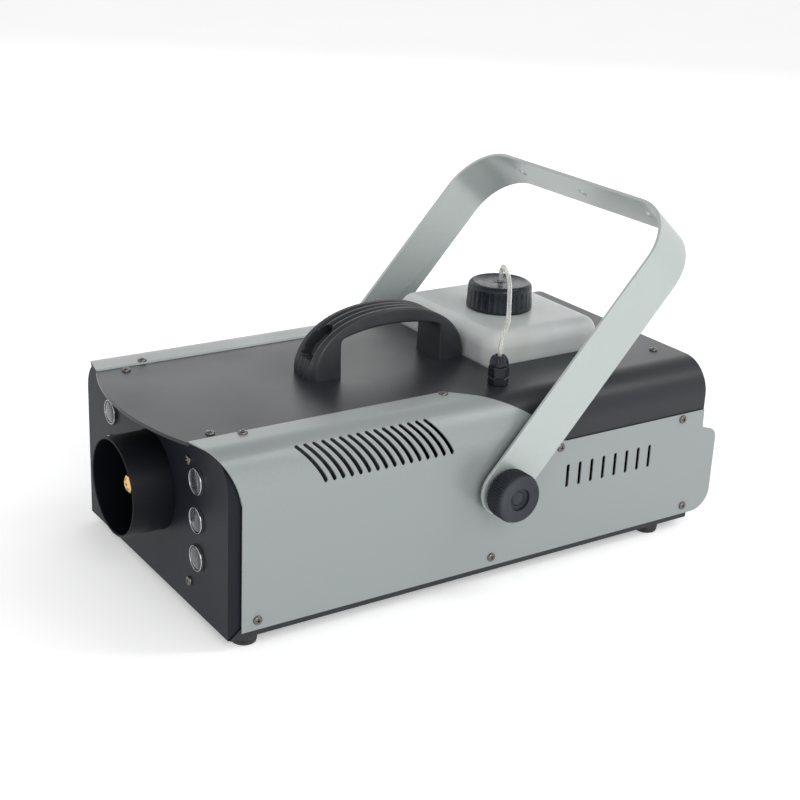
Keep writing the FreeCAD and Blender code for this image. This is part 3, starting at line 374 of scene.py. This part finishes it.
def arc(radius, rise, from_angle, to_angle, centre_radius, centre_height, steps):
    """Profile points (radius, height) on an arc; its angles are in degrees from straight outward."""
    points = []
    for i in range(steps + 1):
        angle = math.radians(from_angle + (to_angle - from_angle) * i / steps)
        points.append((centre_radius + radius * math.cos(angle), centre_height + rise * math.sin(angle)))
    return points


# ---------------------------------------------------------------- hose

HOSE_ROUTE = [(-0.016, 0.119, 0.196), (-0.016, 0.119, 0.2085), (-0.0086, 0.1148, 0.218),
              (0.0039, 0.109, 0.2172), (0.0183, 0.1015, 0.2153), (0.0332, 0.0913, 0.2106),
              (0.0474, 0.0804, 0.2058), (0.0618, 0.0694, 0.2004), (0.075, 0.0588, 0.1973),
              (0.086, 0.044, 0.188), (0.086, 0.044, 0.164)]
HOSE_RADIUS = 2 * MM
HOSE_BORE = 1.3 * MM
HOSE_SIDES = 24


def route_points():
    """Points along the smooth line of the route."""
    curve = bpy.data.curves.new("hose_route", "CURVE")
    curve.dimensions = "3D"
    spline = curve.splines.new("NURBS")
    spline.points.add(len(HOSE_ROUTE) - 1)
    for point, place in zip(spline.points, HOSE_ROUTE):
        point.co = (*place, 1)
    spline.order_u = 3
    spline.use_endpoint_u = True
    spline.resolution_u = 12
    holder = bpy.data.objects.new("hose_route", curve)
    mesh = bpy.data.meshes.new_from_object(holder)
    points = [vert.co.copy() for vert in mesh.vertices]
    bpy.data.objects.remove(holder)
    return points


def feed_hose():
    """A clear hose with its bore, from the cap to the gland."""
    points = route_points()
    verts, faces, rings = [], [], []
    across = Vector((1, 0, 0))
    for i, point in enumerate(points):
        forward = (points[min(i + 1, len(points) - 1)] - points[max(i - 1, 0)]).normalized()
        across = (across - forward * across.dot(forward)).normalized()
        other = forward.cross(across)
        both = []
        for radius in (HOSE_RADIUS, HOSE_BORE):
            both.append(range(len(verts), len(verts) + HOSE_SIDES))
            for k in range(HOSE_SIDES):
                angle = 2 * math.pi * k / HOSE_SIDES
                verts.append(point + radius * (math.cos(angle) * across + math.sin(angle) * other))
        rings.append(both)
    for (outer, inner), (next_outer, next_inner) in zip(rings, rings[1:]):
        for k in range(HOSE_SIDES):
            m = (k + 1) % HOSE_SIDES
            faces.append((outer[k], outer[m], next_outer[m], next_outer[k]))
            faces.append((inner[k], next_inner[k], next_inner[m], inner[m]))
    for outer, inner in (rings[0], rings[-1]):
        for k in range(HOSE_SIDES):
            m = (k + 1) % HOSE_SIDES
            faces.append((outer[k], inner[k], inner[m], outer[m]))
    hose = add_piece("feed_hose_tube", verts, faces, "feed_hose", HOSE, crease=60)


feed_hose()

# ---------------------------------------------------------------- casing

COVER_EDGE = 0.18 * MM
STRAP_EDGE = 0.5 * MM
SPACER_EDGE = 0.5 * MM
WASHER_EDGE = 0.3 * MM

for side in SIDES:
    softened("side_cover_" + side, SILVER, COVER_EDGE)
softened("top_cover", BLACK, COVER_EDGE)
softened("front_panel", FRONT_BLACK_SHADED)
for sheet in ("floor_tray", "rear_panel"):
    softened(sheet, BLACK)
softened("mounting_bracket", BRACKET_SILVER_LIT, STRAP_EDGE)
for side in SIDES:
    softened("pivot_spacer_" + side, PLASTIC, SPACER_EDGE)
    softened("knob_washer_" + side, STEEL, WASHER_EDGE)


def rubber_foot(node):
    """A turned rubber bumper with a hollow underside and a groove round it."""
    low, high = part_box(node)
    centre = (low + high) / 2
    top = high.z / MM
    wide = (high.x - low.x) / 2 / MM
    profile = [(0, 2), (3, 2), (3, 0.3), (3.4, 0), (wide - 1.9, 0), (wide - 1.2, 0.4), (wide - 0.9, 1.2),
               (wide - 0.55, 3.4), (wide - 0.9, 3.7), (wide - 0.9, 4.1), (wide - 0.45, 4.5),
               (wide, top - 0.4), (wide - 0.3, top), (0, top)]
    verts, faces = turned(scaled(profile), 48)
    add_piece(node + "_bumper", moved(verts, (centre.x, centre.y, 0)), faces, node, RUBBER)


for name in [name for name in NODES if name.startswith("foot_")]:
    rubber_foot(name)

# ---------------------------------------------------------------- screws


def islands(node):
    """The lowest and highest corners of each separate solid of a node, in order of place."""
    shape = bmesh.new()
    shape.from_mesh(NODES[node].data)
    bmesh.ops.remove_doubles(shape, verts=shape.verts, dist=CAD_SAME_POINT)
    left = set(shape.verts)
    found = []
    while left:
        seed = left.pop()
        solid, fresh = {seed}, [seed]
        while fresh:
            vert = fresh.pop()
            for edge in vert.link_edges:
                other = edge.other_vert(vert)
                if other not in solid:
                    solid.add(other)
                    fresh.append(other)
        left -= solid
        corners = [vert.co.copy() for vert in solid]
        found.append((Vector(map(min, zip(*corners))), Vector(map(max, zip(*corners)))))
    shape.free()
    return sorted(found, key=lambda box: [round(value / MM) for value in box[0]])


HEAD_HEIGHT = 2
SHANK_RADIUS = 1.9
HEAD_TURN = 0.7  # radians from one screw's recess to the next one's
RECESS_FLOOR, RECESS_TOP = (0.5, 0.45), (2.6, 1.1)  # each a level, and the share of the blade's size there
INSIDE = Vector((0, 0, 0.08))  # a point in the casing that every head faces away from


def screw_head_mesh():
    """A pan head with a cross recess that narrows towards its floor, standing on the XY plane."""
    profile = [(0, 0), (3.7, 0), (3.72, 0.5), (3.55, 1.0), (3.15, 1.5), (2.5, 1.85), (1.6, 2.0), (0, 2.05)]
    verts, faces = turned(scaled(profile), 40)
    mesh = bpy.data.meshes.new("screw_head")
    mesh.from_pydata(verts, [], faces)
    head = bpy.data.objects.new("screw_head", mesh)
    bpy.context.scene.collection.objects.link(head)
    blades = []
    for across, along in ((0.42, 2.1), (2.1, 0.42)):
        cutter = bpy.data.meshes.new("blade")
        corners = [(x * across * size * MM, y * along * size * MM, level * MM)
                   for level, size in (RECESS_FLOOR, RECESS_TOP)
                   for x, y in ((-1, -1), (1, -1), (1, 1), (-1, 1))]
        sides = [(0, 1, 5, 4), (1, 2, 6, 5), (2, 3, 7, 6), (3, 0, 4, 7)]
        cutter.from_pydata(corners, [], [(3, 2, 1, 0), (4, 5, 6, 7), *sides])
        blade = bpy.data.objects.new("blade", cutter)
        bpy.context.scene.collection.objects.link(blade)
        blades.append(blade)
    applied(head, *[("BOOLEAN", {"operation": "DIFFERENCE", "object": blade, "solver": "EXACT"})
                    for blade in blades])
    result = head.data
    for thing in (head, *blades):
        bpy.data.objects.remove(thing)
    return result


SCREW_HEAD = screw_head_mesh()


def screws(node):
    """Replace each plain screw of a node with a head that has a cross recess, and its shank."""
    verts, faces = [], []
    for index, (low, high) in enumerate(islands(node)):
        size, middle = high - low, (low + high) / 2
        axis = Vector((0, 0, 0))
        lengthwise = max(range(3), key=lambda i: size[i])
        axis[lengthwise] = math.copysign(1, middle[lengthwise] - INSIDE[lengthwise])
        length = size[lengthwise]
        seat = middle + axis * (length / 2 - HEAD_HEIGHT * MM)
        turn = Matrix.Rotation(HEAD_TURN * index, 3, "Z")
        head = ([turn @ vert.co for vert in SCREW_HEAD.vertices],
                [polygon.vertices for polygon in SCREW_HEAD.polygons])
        end = -length / MM + HEAD_HEIGHT
        shank = turned(scaled([(0, end), (SHANK_RADIUS, end + 0.6), (SHANK_RADIUS, 0.05), (0, 0.05)]), 16)
        for new_verts, new_faces in (head, shank):
            faces += [[len(verts) + v for v in face] for face in new_faces]
            verts += moved(new_verts, seat, axis)
    add_piece(node + "_heads", verts, faces, node, SCREW, crease=30)


for name in ("side_cover_screws", "top_cover_screws", "end_panel_screws"):
    screws(name)

# ---------------------------------------------------------------- outlet

BACKWARD, FORWARD = (0, 1, 0), (0, -1, 0)
TUBE_RADIUS = 39.4
TUBE_WALL = 1.4
TUBE_RIM = 0.9
FLANGE = 9
FLANGE_THICKNESS = 1.5
PANEL_SHEET = 1.2


def outlet_tube():
    """The tube with a rolled rim, and the flange that holds it behind the front panel."""
    low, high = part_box("outlet_tube")
    nozzle_low, nozzle_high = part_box("nozzle")
    axis_height = (nozzle_low.z + nozzle_high.z) / 2
    length = (high.y - low.y) / MM
    plate = (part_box("front_panel")[0].y + PANEL_SHEET * MM - low.y) / MM
    bore, flange = TUBE_RADIUS - TUBE_WALL, TUBE_RADIUS + FLANGE
    profile = [(bore, length), (bore, TUBE_RIM + 1),
               *arc(TUBE_RIM, TUBE_RIM, 180, 360, TUBE_RADIUS - TUBE_RIM, TUBE_RIM, 10),
               (TUBE_RADIUS, plate), (flange, plate), (flange, plate + FLANGE_THICKNESS),
               (TUBE_RADIUS, plate + FLANGE_THICKNESS), (TUBE_RADIUS, length)]
    verts, faces = turned(scaled(profile), 128, closed=True)
    verts = moved(verts, (0, low.y, axis_height), BACKWARD)
    add_piece("outlet_tube_wall", verts, faces, "outlet_tube", TUBE_BLACK_SHADED)


def nozzle():
    """A drilled brass tip in a hexagon nut."""
    low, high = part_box("nozzle")
    place = ((low.x + high.x) / 2, low.y, (low.z + high.z) / 2)
    length = (high.y - low.y) / MM
    tip = [(0, 1.5), (0.9, 1.5), (0.9, 0.1), (1.2, 0), (3.0, 0), (3.4, 0.3), (4.6, 1.2), (4.6, 1.6), (0, 1.6)]
    nut = [(0, 1.2), (6.3, 1.2), (7.2, 1.8), (7.2, 8.6), (6.3, 9.2), (4.2, 9.2), (4.2, length), (0, length)]
    for name, profile, sides, replaces in (("nozzle_tip", tip, 32, True), ("nozzle_hexagon", nut, 6, False)):
        verts, faces = turned(scaled(profile), sides)
        add_piece(name, moved(verts, place, BACKWARD), faces, "nozzle", BRASS, replaces)


outlet_tube()
nozzle()


def lamp(level, side):
    """A thin chrome ring on a flat black ring, with a shallow reflector cup and an emitter.

    Returns the vertices and faces of the domed lens, which is one piece with the others of its side.
    """
    tag = f"_{level}_{side}"
    bezel, lenses = "lamp_bezel" + tag, "lamp_lenses_" + side
    low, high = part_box(bezel)
    wide = (high.x - low.x) / 2 / MM
    place = ((low.x + high.x) / 2, high.y, (low.z + high.z) / 2)
    # A flat black ring under the chrome ring, for the dark line round each bezel.
    dark_ring = [(wide - 2, 0), (wide, 0), (wide, 0.5), (wide - 0.3, 0.8), (wide - 2, 0.8)]
    ring = [(wide - 1.5, 0.7), (wide - 0.5, 0.7), (wide - 0.5, 1.5),
            *arc(0.5, 0.8, 10, 150, wide - 1.0, 1.5, 8), (wide - 1.5, 1.2), (wide - 1.6, 0.9)]
    for name, look, profile, replaces in (("lamp_dark_ring", RUBBER, dark_ring, False),
                                          ("lamp_ring", CHROME, ring, True)):
        verts, faces = turned(scaled(profile), 64, closed=True)
        add_piece(name + tag, moved(verts, place, FORWARD), faces, bezel, look, replaces, 50)
    cup = [(0, -1.0), (2.0, -1.0), (3.4, -0.8), (5.6, -0.1), (wide - 1.9, 0.9), (wide - 1.7, 0.6),
           (5.8, -0.5), (3.6, -1.05), (2.0, -1.15), (0, -1.15)]
    chip = [(0, -1.1), (1.7, -1.1), (1.7, -0.6), *arc(1.5, 1.0, 0, 80, 0, -0.6, 5), (0, 0.4)]
    for name, look, profile, sides in (("lamp_cup", CUP_SHADED, cup, 48), ("lamp_emitter", EMITTER, chip, 24)):
        verts, faces = turned(scaled(profile), sides)
        add_piece(name + tag, moved(verts, place, FORWARD), faces, lenses, look, False)
    dome = [(0, 0.95), (wide - 1.7, 0.95), (wide - 1.7, 1.3),
            *arc(wide - 1.8, 1.5, 4, 84, 0, 1.3, 9), (0, 2.8)]
    verts, faces = turned(scaled(dome), 48)
    return moved(verts, place, FORWARD), faces


for side in SIDES:
    verts, faces = [], []
    for level in ("upper", "middle", "lower"):
        new_verts, new_faces = lamp(level, side)
        faces += [[len(verts) + v for v in face] for face in new_faces]
        verts += new_verts
    add_piece("lamp_domes_" + side, verts, faces, "lamp_lenses_" + side, LENS_SHADED)

# ---------------------------------------------------------------- tank and cap

TANK_EDGE = 14 * MM
CAP_GAP = 0.4 * MM
CAP_RIBS = 32


def ribbed_cap():
    """A screw cap with ribs round its side, a sunk top, and a raised collar round the hose's hole."""
    low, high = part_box("tank_cap")
    centre = (low + high) / 2
    wide, tall = (high.x - low.x) / 2 / MM, (high.z - low.z) / MM
    hole, bore, groove = 2.8, 24.1, 0.5
    profile = [(hole, tall - 2), (bore, tall - 2), (bore, 0), (wide - 0.8, 0), (wide - 0.2, 0.4), (wide, 1.3),
               (wide, 2.4), (wide - 0.1, 3.0, groove), (wide - 0.8, tall - 6.5, groove),
               (wide - 0.9, tall - 5.4), *arc(4.2, 4.2, 4, 88, wide - 5.2, tall - 4.2, 8),
               (wide - 5.6, tall), (wide - 6.4, tall - 0.3),
               (hole + 3, tall - 0.3), (hole + 2.6, tall), (hole + 0.5, tall), (hole, tall - 0.5)]
    verts, faces = turned(scaled(profile), 15 * CAP_RIBS, grooves(CAP_RIBS, 0.6), closed=True)
    verts = moved(verts, (centre.x, centre.y, low.z))
    add_piece("tank_cap_ribbed", verts, faces, "tank_cap", CAP_PLASTIC, crease=30)


def fluid_tank():
    """A blow-moulded tank with big soft edges, and a neck with a thread for the cap."""
    low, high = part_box("fluid_tank")
    cap_low, cap_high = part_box("tank_cap")
    top = cap_low.z - CAP_GAP
    size = Vector((high.x - low.x, high.y - low.y, top - low.z))
    centre = (low + high) / 2
    shape = bmesh.new()
    bmesh.ops.create_cube(shape, size=1)
    for vert in shape.verts:
        vert.co = Vector((centre.x + vert.co.x * size.x, centre.y + vert.co.y * size.y,
                          (low.z + top) / 2 + vert.co.z * size.z))
    mesh = bpy.data.meshes.new("fluid_tank_body")
    shape.to_mesh(mesh)
    shape.free()
    tank = bpy.data.objects.new("fluid_tank_body", mesh)
    bpy.context.scene.collection.objects.link(tank)
    applied(tank, ("BEVEL", {"width": TANK_EDGE, "segments": 10, "limit_method": "NONE"}))
    dress(tank, "fluid_tank", TANK, crease=60)
    neck = (cap_low + cap_high) / 2
    profile = [(21.5, -6), (24, -6), (24, 0.5), (24.0, 3), (23.2, 3.4), (23.2, 5), (24, 5.4), (24, 6.6),
               (23.2, 7.0), (23.2, 8.6), (24, 9), (24, 10.2), (23.2, 10.6), (23.2, 17.8), (21.5, 18.2)]
    verts, faces = turned(scaled(profile), 64, closed=True)
    add_piece("fluid_tank_neck", moved(verts, (neck.x, neck.y, top)), faces, "fluid_tank", TANK, False)


fluid_tank()
ribbed_cap()

# ---------------------------------------------------------------- gland

BASE_HEIGHT = 6.1
NUT_HEIGHT = 9.5
FINGERS = 8


def gland():
    """A hexagon base and nut, and a dome cut into fingers that close on the hose."""
    low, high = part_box("gland_body")
    centre = (low + high) / 2
    nut_low, nut_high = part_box("gland_nut")
    seat = (nut_low.z - low.z) / MM
    place = (centre.x, centre.y, low.z)
    corner, tall = (nut_high.x - nut_low.x) / 2 / MM, (nut_high.z - low.z) / MM
    base, nut = seat - BASE_HEIGHT, seat + NUT_HEIGHT
    thread = (high.z - low.z) / MM
    bore, nut_bore = 2.1, 5.7
    shapes = [("gland_base", "gland_body", 6, None,
               [(bore, base), (corner - 0.7, base), (corner, base + 0.6), (corner, seat - 0.8),
                (corner - 0.7, seat - 0.1), (bore, seat - 0.1)]),
              ("gland_thread", "gland_body", 40, None,
               [(bore, 0), (5.2, 0), (5.6, 0.4), (5.6, thread), (bore, thread)]),
              ("gland_nut_grip", "gland_nut", 6, None,
               [(nut_bore, seat), (corner - 0.6, seat), (corner, seat + 0.6), (corner, nut - 0.8),
                (corner - 0.6, nut), (nut_bore, nut)]),
              ("gland_dome", "gland_nut", 24 * FINGERS, grooves(FINGERS, 0.9),
               [(bore, nut - 0.4), (7.6, nut - 0.4), (8.0, nut + 0.4), (8.0, nut + 1.6),
                (7.9, nut + 2.4, 1.0), (7.6, nut + 4.2, 1.3), (7.0, nut + 6.0, 1.3),
                (6.1, nut + 7.6, 1.2), (5.1, tall - 0.3, 0.9),
                (4.4, tall), (3.4, tall), (3.2, tall - 1), (bore, tall - 6)])]
    for name, node, sides, wave, profile in shapes:
        verts, faces = turned(scaled(profile), sides, wave, closed=True)
        add_piece(name, moved(verts, place), faces, node, GLOSSY, name in ("gland_base", "gland_dome"), 28)


gland()

# ---------------------------------------------------------------- clamp knobs

KNOB_RIBS = 52
RIB_DEPTH = 1.2
WASHER_GAP = 0.05


def clamp_knob(side, sign):
    """A ribbed knob with a sunk ring in its face, and its stud."""
    node = "clamp_knob_" + side
    low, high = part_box(node)
    centre = (low + high) / 2
    washer_low, washer_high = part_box("knob_washer_" + side)
    back = (washer_high.x if sign > 0 else -washer_low.x) / MM + WASHER_GAP
    face = (high.x if sign > 0 else -low.x) / MM
    stud = (low.x if sign > 0 else -high.x) / MM
    wide = (high.z - low.z) / 2 / MM
    rib = RIB_DEPTH
    profile = [(0, stud), (3.4, stud), (4, stud + 0.6), (4, back), (11, back), (wide - 3, back + 0.8),
               (wide - 0.6, back + 2.2), (wide - 0.3, back + 2.6, rib), (wide, back + 4, rib),
               (wide, face - 3.0, rib), (wide - 0.5, face - 2.2, rib * 0.7), (wide - 1.1, face - 1.4),
               *arc(1.1, 1.2, 10, 85, wide - 2.4, face - 1.2, 4), (wide - 3.4, face),
               (wide - 3.8, face - 0.25), (9.9, face - 0.25), (9.4, face - 0.5), (9.1, face - 3.2),
               (8.6, face - 3.5), (6.2, face - 3.4),
               (5.7, face - 3.0), (5.2, face - 2.6), (3.4, face - 2.4), (0, face - 2.3)]
    verts, faces = turned(scaled(profile), 10 * KNOB_RIBS, grooves(KNOB_RIBS, 0.7))
    verts = moved(verts, (0, centre.y, centre.z), (sign, 0, 0))
    add_piece(node + "_ribbed", verts, faces, node, KNOB_PLASTIC)


for side, sign in SIDES.items():
    clamp_knob(side, sign)

# ---------------------------------------------------------------- rear fittings

for node, width in (("mains_inlet", 0.6), ("fuse_drawer", 0.5), ("switch_housing", 0.6),
                    ("remote_socket", 0.5)):
    softened(node, GLOSSY, width * MM)
softened("power_rocker", RED, 0.6 * MM, segments=3)

# ---------------------------------------------------------------- carry handle

RIB_PITCH = 7.2 * MM
RIB_HEIGHT = 1.3 * MM
POCKET_RIB_HEIGHT = 1.2 * MM
POCKET_DEPTH = 9 * MM
POCKET_HALF_WIDTH = 8.6 * MM
TOP_POINTS = 81
STATIONS = 240
OUTLINE_POWER = 2.15
HANDLE_LEG = 27 * MM
ROOF_HALF_LENGTH = 86 * MM
ROOF_RISE = 38 * MM
CORNER_POWER = 30
LOW_TAPER, TOP_TAPER = 0.1, 0.18
# Places along the handle, as a share of its rise
RIBS_START, RIBS_FULL = 0.06, 0.34
POCKET_START, POCKET_FULL = 0.30, 0.34
POCKET_ROUND_START, POCKET_ROUND_LENGTH = 0.66, 0.13


def superellipse_reach(angle, half_width, height, power):
    """Distance from the centre to the outline |y/w|^n + |z/h|^n = 1 along an angle."""
    c, s = abs(math.cos(angle)), abs(math.sin(angle))
    return ((c / half_width) ** power + (s / height) ** power) ** (-1 / power)


def ramp(value, start, end):
    """0 at start, 1 at end, smooth between."""
    t = max(0.0, min(1.0, (value - start) / (end - start)))
    return t * t * (3 - 2 * t)


def handle_section(low_half, top_half, thickness, upright):
    """Points round the handle's section, at upright from 0 at the feet to 1 at the crown.

    Each is its sideways place, its level from inner 0 to outer 1, and how deep it is sunk into the top.
    """
    right = []
    low_corner, top_corner = 2 * MM, (2.2 + 4.5 * (1 - upright) ** 2) * MM
    for half, corner, start in ((low_half, low_corner, -90), (top_half, top_corner, 0)):
        edge = corner / thickness
        base = edge if start else 1 - edge
        for step in range(7):
            angle = math.radians(start + 15 * step)
            right.append((half - corner * (1 - math.cos(angle)), base + edge * math.sin(angle), 0.0))
    top = []
    flat = top_half - top_corner
    ribbed = ramp(upright, RIBS_START, RIBS_FULL)
    round_end = max(0.0, min(1.0, (upright - POCKET_ROUND_START) / POCKET_ROUND_LENGTH))
    pocket_half = POCKET_HALF_WIDTH * math.sqrt(1 - round_end ** 2)
    pocket = ramp(upright, POCKET_START, POCKET_FULL) * POCKET_DEPTH
    for step in range(1, TOP_POINTS - 1):
        x = flat * (1 - 2 * step / (TOP_POINTS - 1))
        ridge = (0.5 - 0.5 * math.cos(2 * math.pi * x / RIB_PITCH)) ** 0.7
        sunk = ribbed * ramp(flat - abs(x), 0, 0.5 * MM) * RIB_HEIGHT * (1 - ridge)
        inside = ramp(pocket_half - abs(x), -0.2 * MM, 0.6 * MM)
        top.append((x, 1.0, sunk + inside * (pocket - POCKET_RIB_HEIGHT * ridge)))
    left = [(-x, level, sunk) for x, level, sunk in reversed(right)]
    return right + top + left


def carry_handle():
    """An arch swept between an outer and an inner outline, ridged on top, with a pocket near each foot."""
    low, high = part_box("carry_handle")
    centre = (low + high) / 2
    half_length, rise = (high.y - low.y) / 2, high.z - low.z
    half_width = (high.x - low.x) / 2
    verts, faces = [], []
    for i in range(STATIONS + 1):
        angle = math.pi * i / STATIONS
        direction = Vector((0, math.cos(angle), math.sin(angle)))
        outer = direction * superellipse_reach(angle, half_length, rise, OUTLINE_POWER)
        wall = (half_length - HANDLE_LEG) / max(abs(math.cos(angle)), 1e-6)
        roof = superellipse_reach(angle, ROOF_HALF_LENGTH, ROOF_RISE, 2)
        inner = direction * (wall ** -CORNER_POWER + roof ** -CORNER_POWER) ** (-1 / CORNER_POWER)
        upright = outer.z / rise
        low_half, top_half = half_width * (1 - LOW_TAPER * upright), half_width * (1 - TOP_TAPER * upright)
        section = handle_section(low_half, top_half, (outer - inner).length, upright)
        for x, level, sunk in section:
            point = inner + (outer - inner) * level - direction * sunk
            verts.append((centre.x + x, centre.y + point.y, low.z + max(point.z, 0.0)))
    across = len(verts) // (STATIONS + 1)
    for i in range(STATIONS):
        for k in range(across):
            m = (k + 1) % across
            a, b = i * across, (i + 1) * across
            faces.append((a + k, a + m, b + m, b + k))
    faces.append(list(range(across)))
    faces.append(list(range(STATIONS * across, (STATIONS + 1) * across)))
    add_piece("carry_handle_grip", verts, faces, "carry_handle", PLASTIC, crease=40)


carry_handle()

# ---------------------------------------------------------------- floor and light


def add_floor():
    """A wide pale floor."""
    reach = 12.0
    corners = [(-reach, -reach, 0), (reach, -reach, 0), (reach, reach, 0), (-reach, reach, 0)]
    mesh = bpy.data.meshes.new("floor")
    mesh.from_pydata(corners, [], [(0, 1, 2, 3)])
    floor = bpy.data.objects.new("floor", mesh)
    bpy.context.scene.collection.objects.link(floor)
    look = Look("floor", (0.90, 0.90, 0.90), 0.85, Emission_Strength=0.3)
    look.tint(look.noise(3, 2), (0.92, 0.92, 0.92))
    floor.data.materials.append(look.material)


def add_light(name, place, target, size, power):
    """A rectangular softbox at place that faces target; its power is in watts."""
    data = bpy.data.lights.new(name, "AREA")
    data.shape = "RECTANGLE"
    data.size, data.size_y = size
    data.energy = power
    light = bpy.data.objects.new(name, data)
    light.location = place
    light.rotation_euler = (Vector(target) - Vector(place)).to_track_quat("-Z", "Y").to_euler()
    bpy.context.scene.collection.objects.link(light)


def add_world():
    """White walls all round and a dimmer ceiling."""
    world = bpy.data.worlds.new("studio")
    world.use_nodes = True
    tree = world.node_tree
    background = tree.nodes["Background"]
    background.inputs["Color"].default_value = (1, 1, 1, 1)
    split = tree.nodes.new("ShaderNodeSeparateXYZ")
    fade = tree.nodes.new("ShaderNodeMapRange")
    for key, value in (("From Min", 0.35), ("From Max", 1.0), ("To Min", 1.1), ("To Max", 0.25)):
        fade.inputs[key].default_value = value
    tree.links.new(tree.nodes.new("ShaderNodeTexCoord").outputs["Generated"], split.inputs["Vector"])
    tree.links.new(split.outputs["Z"], fade.inputs["Value"])
    tree.links.new(fade.outputs["Result"], background.inputs["Strength"])
    bpy.context.scene.world = world


add_floor()
add_world()
add_light("key", (2.1, -0.4, 1.3), (0, 0, 0.1), (1.2, 1.2), 18)
add_light("strip", (0.7, 1.0, 1.6), (0, 0, 0.15), (0.25, 1.6), 8)
add_light("back", (-2.0, 1.4, 1.15), (0, 0, 0.15), (2.4, 1.2), 6)
bpy.context.scene.view_settings.view_transform = "Standard"
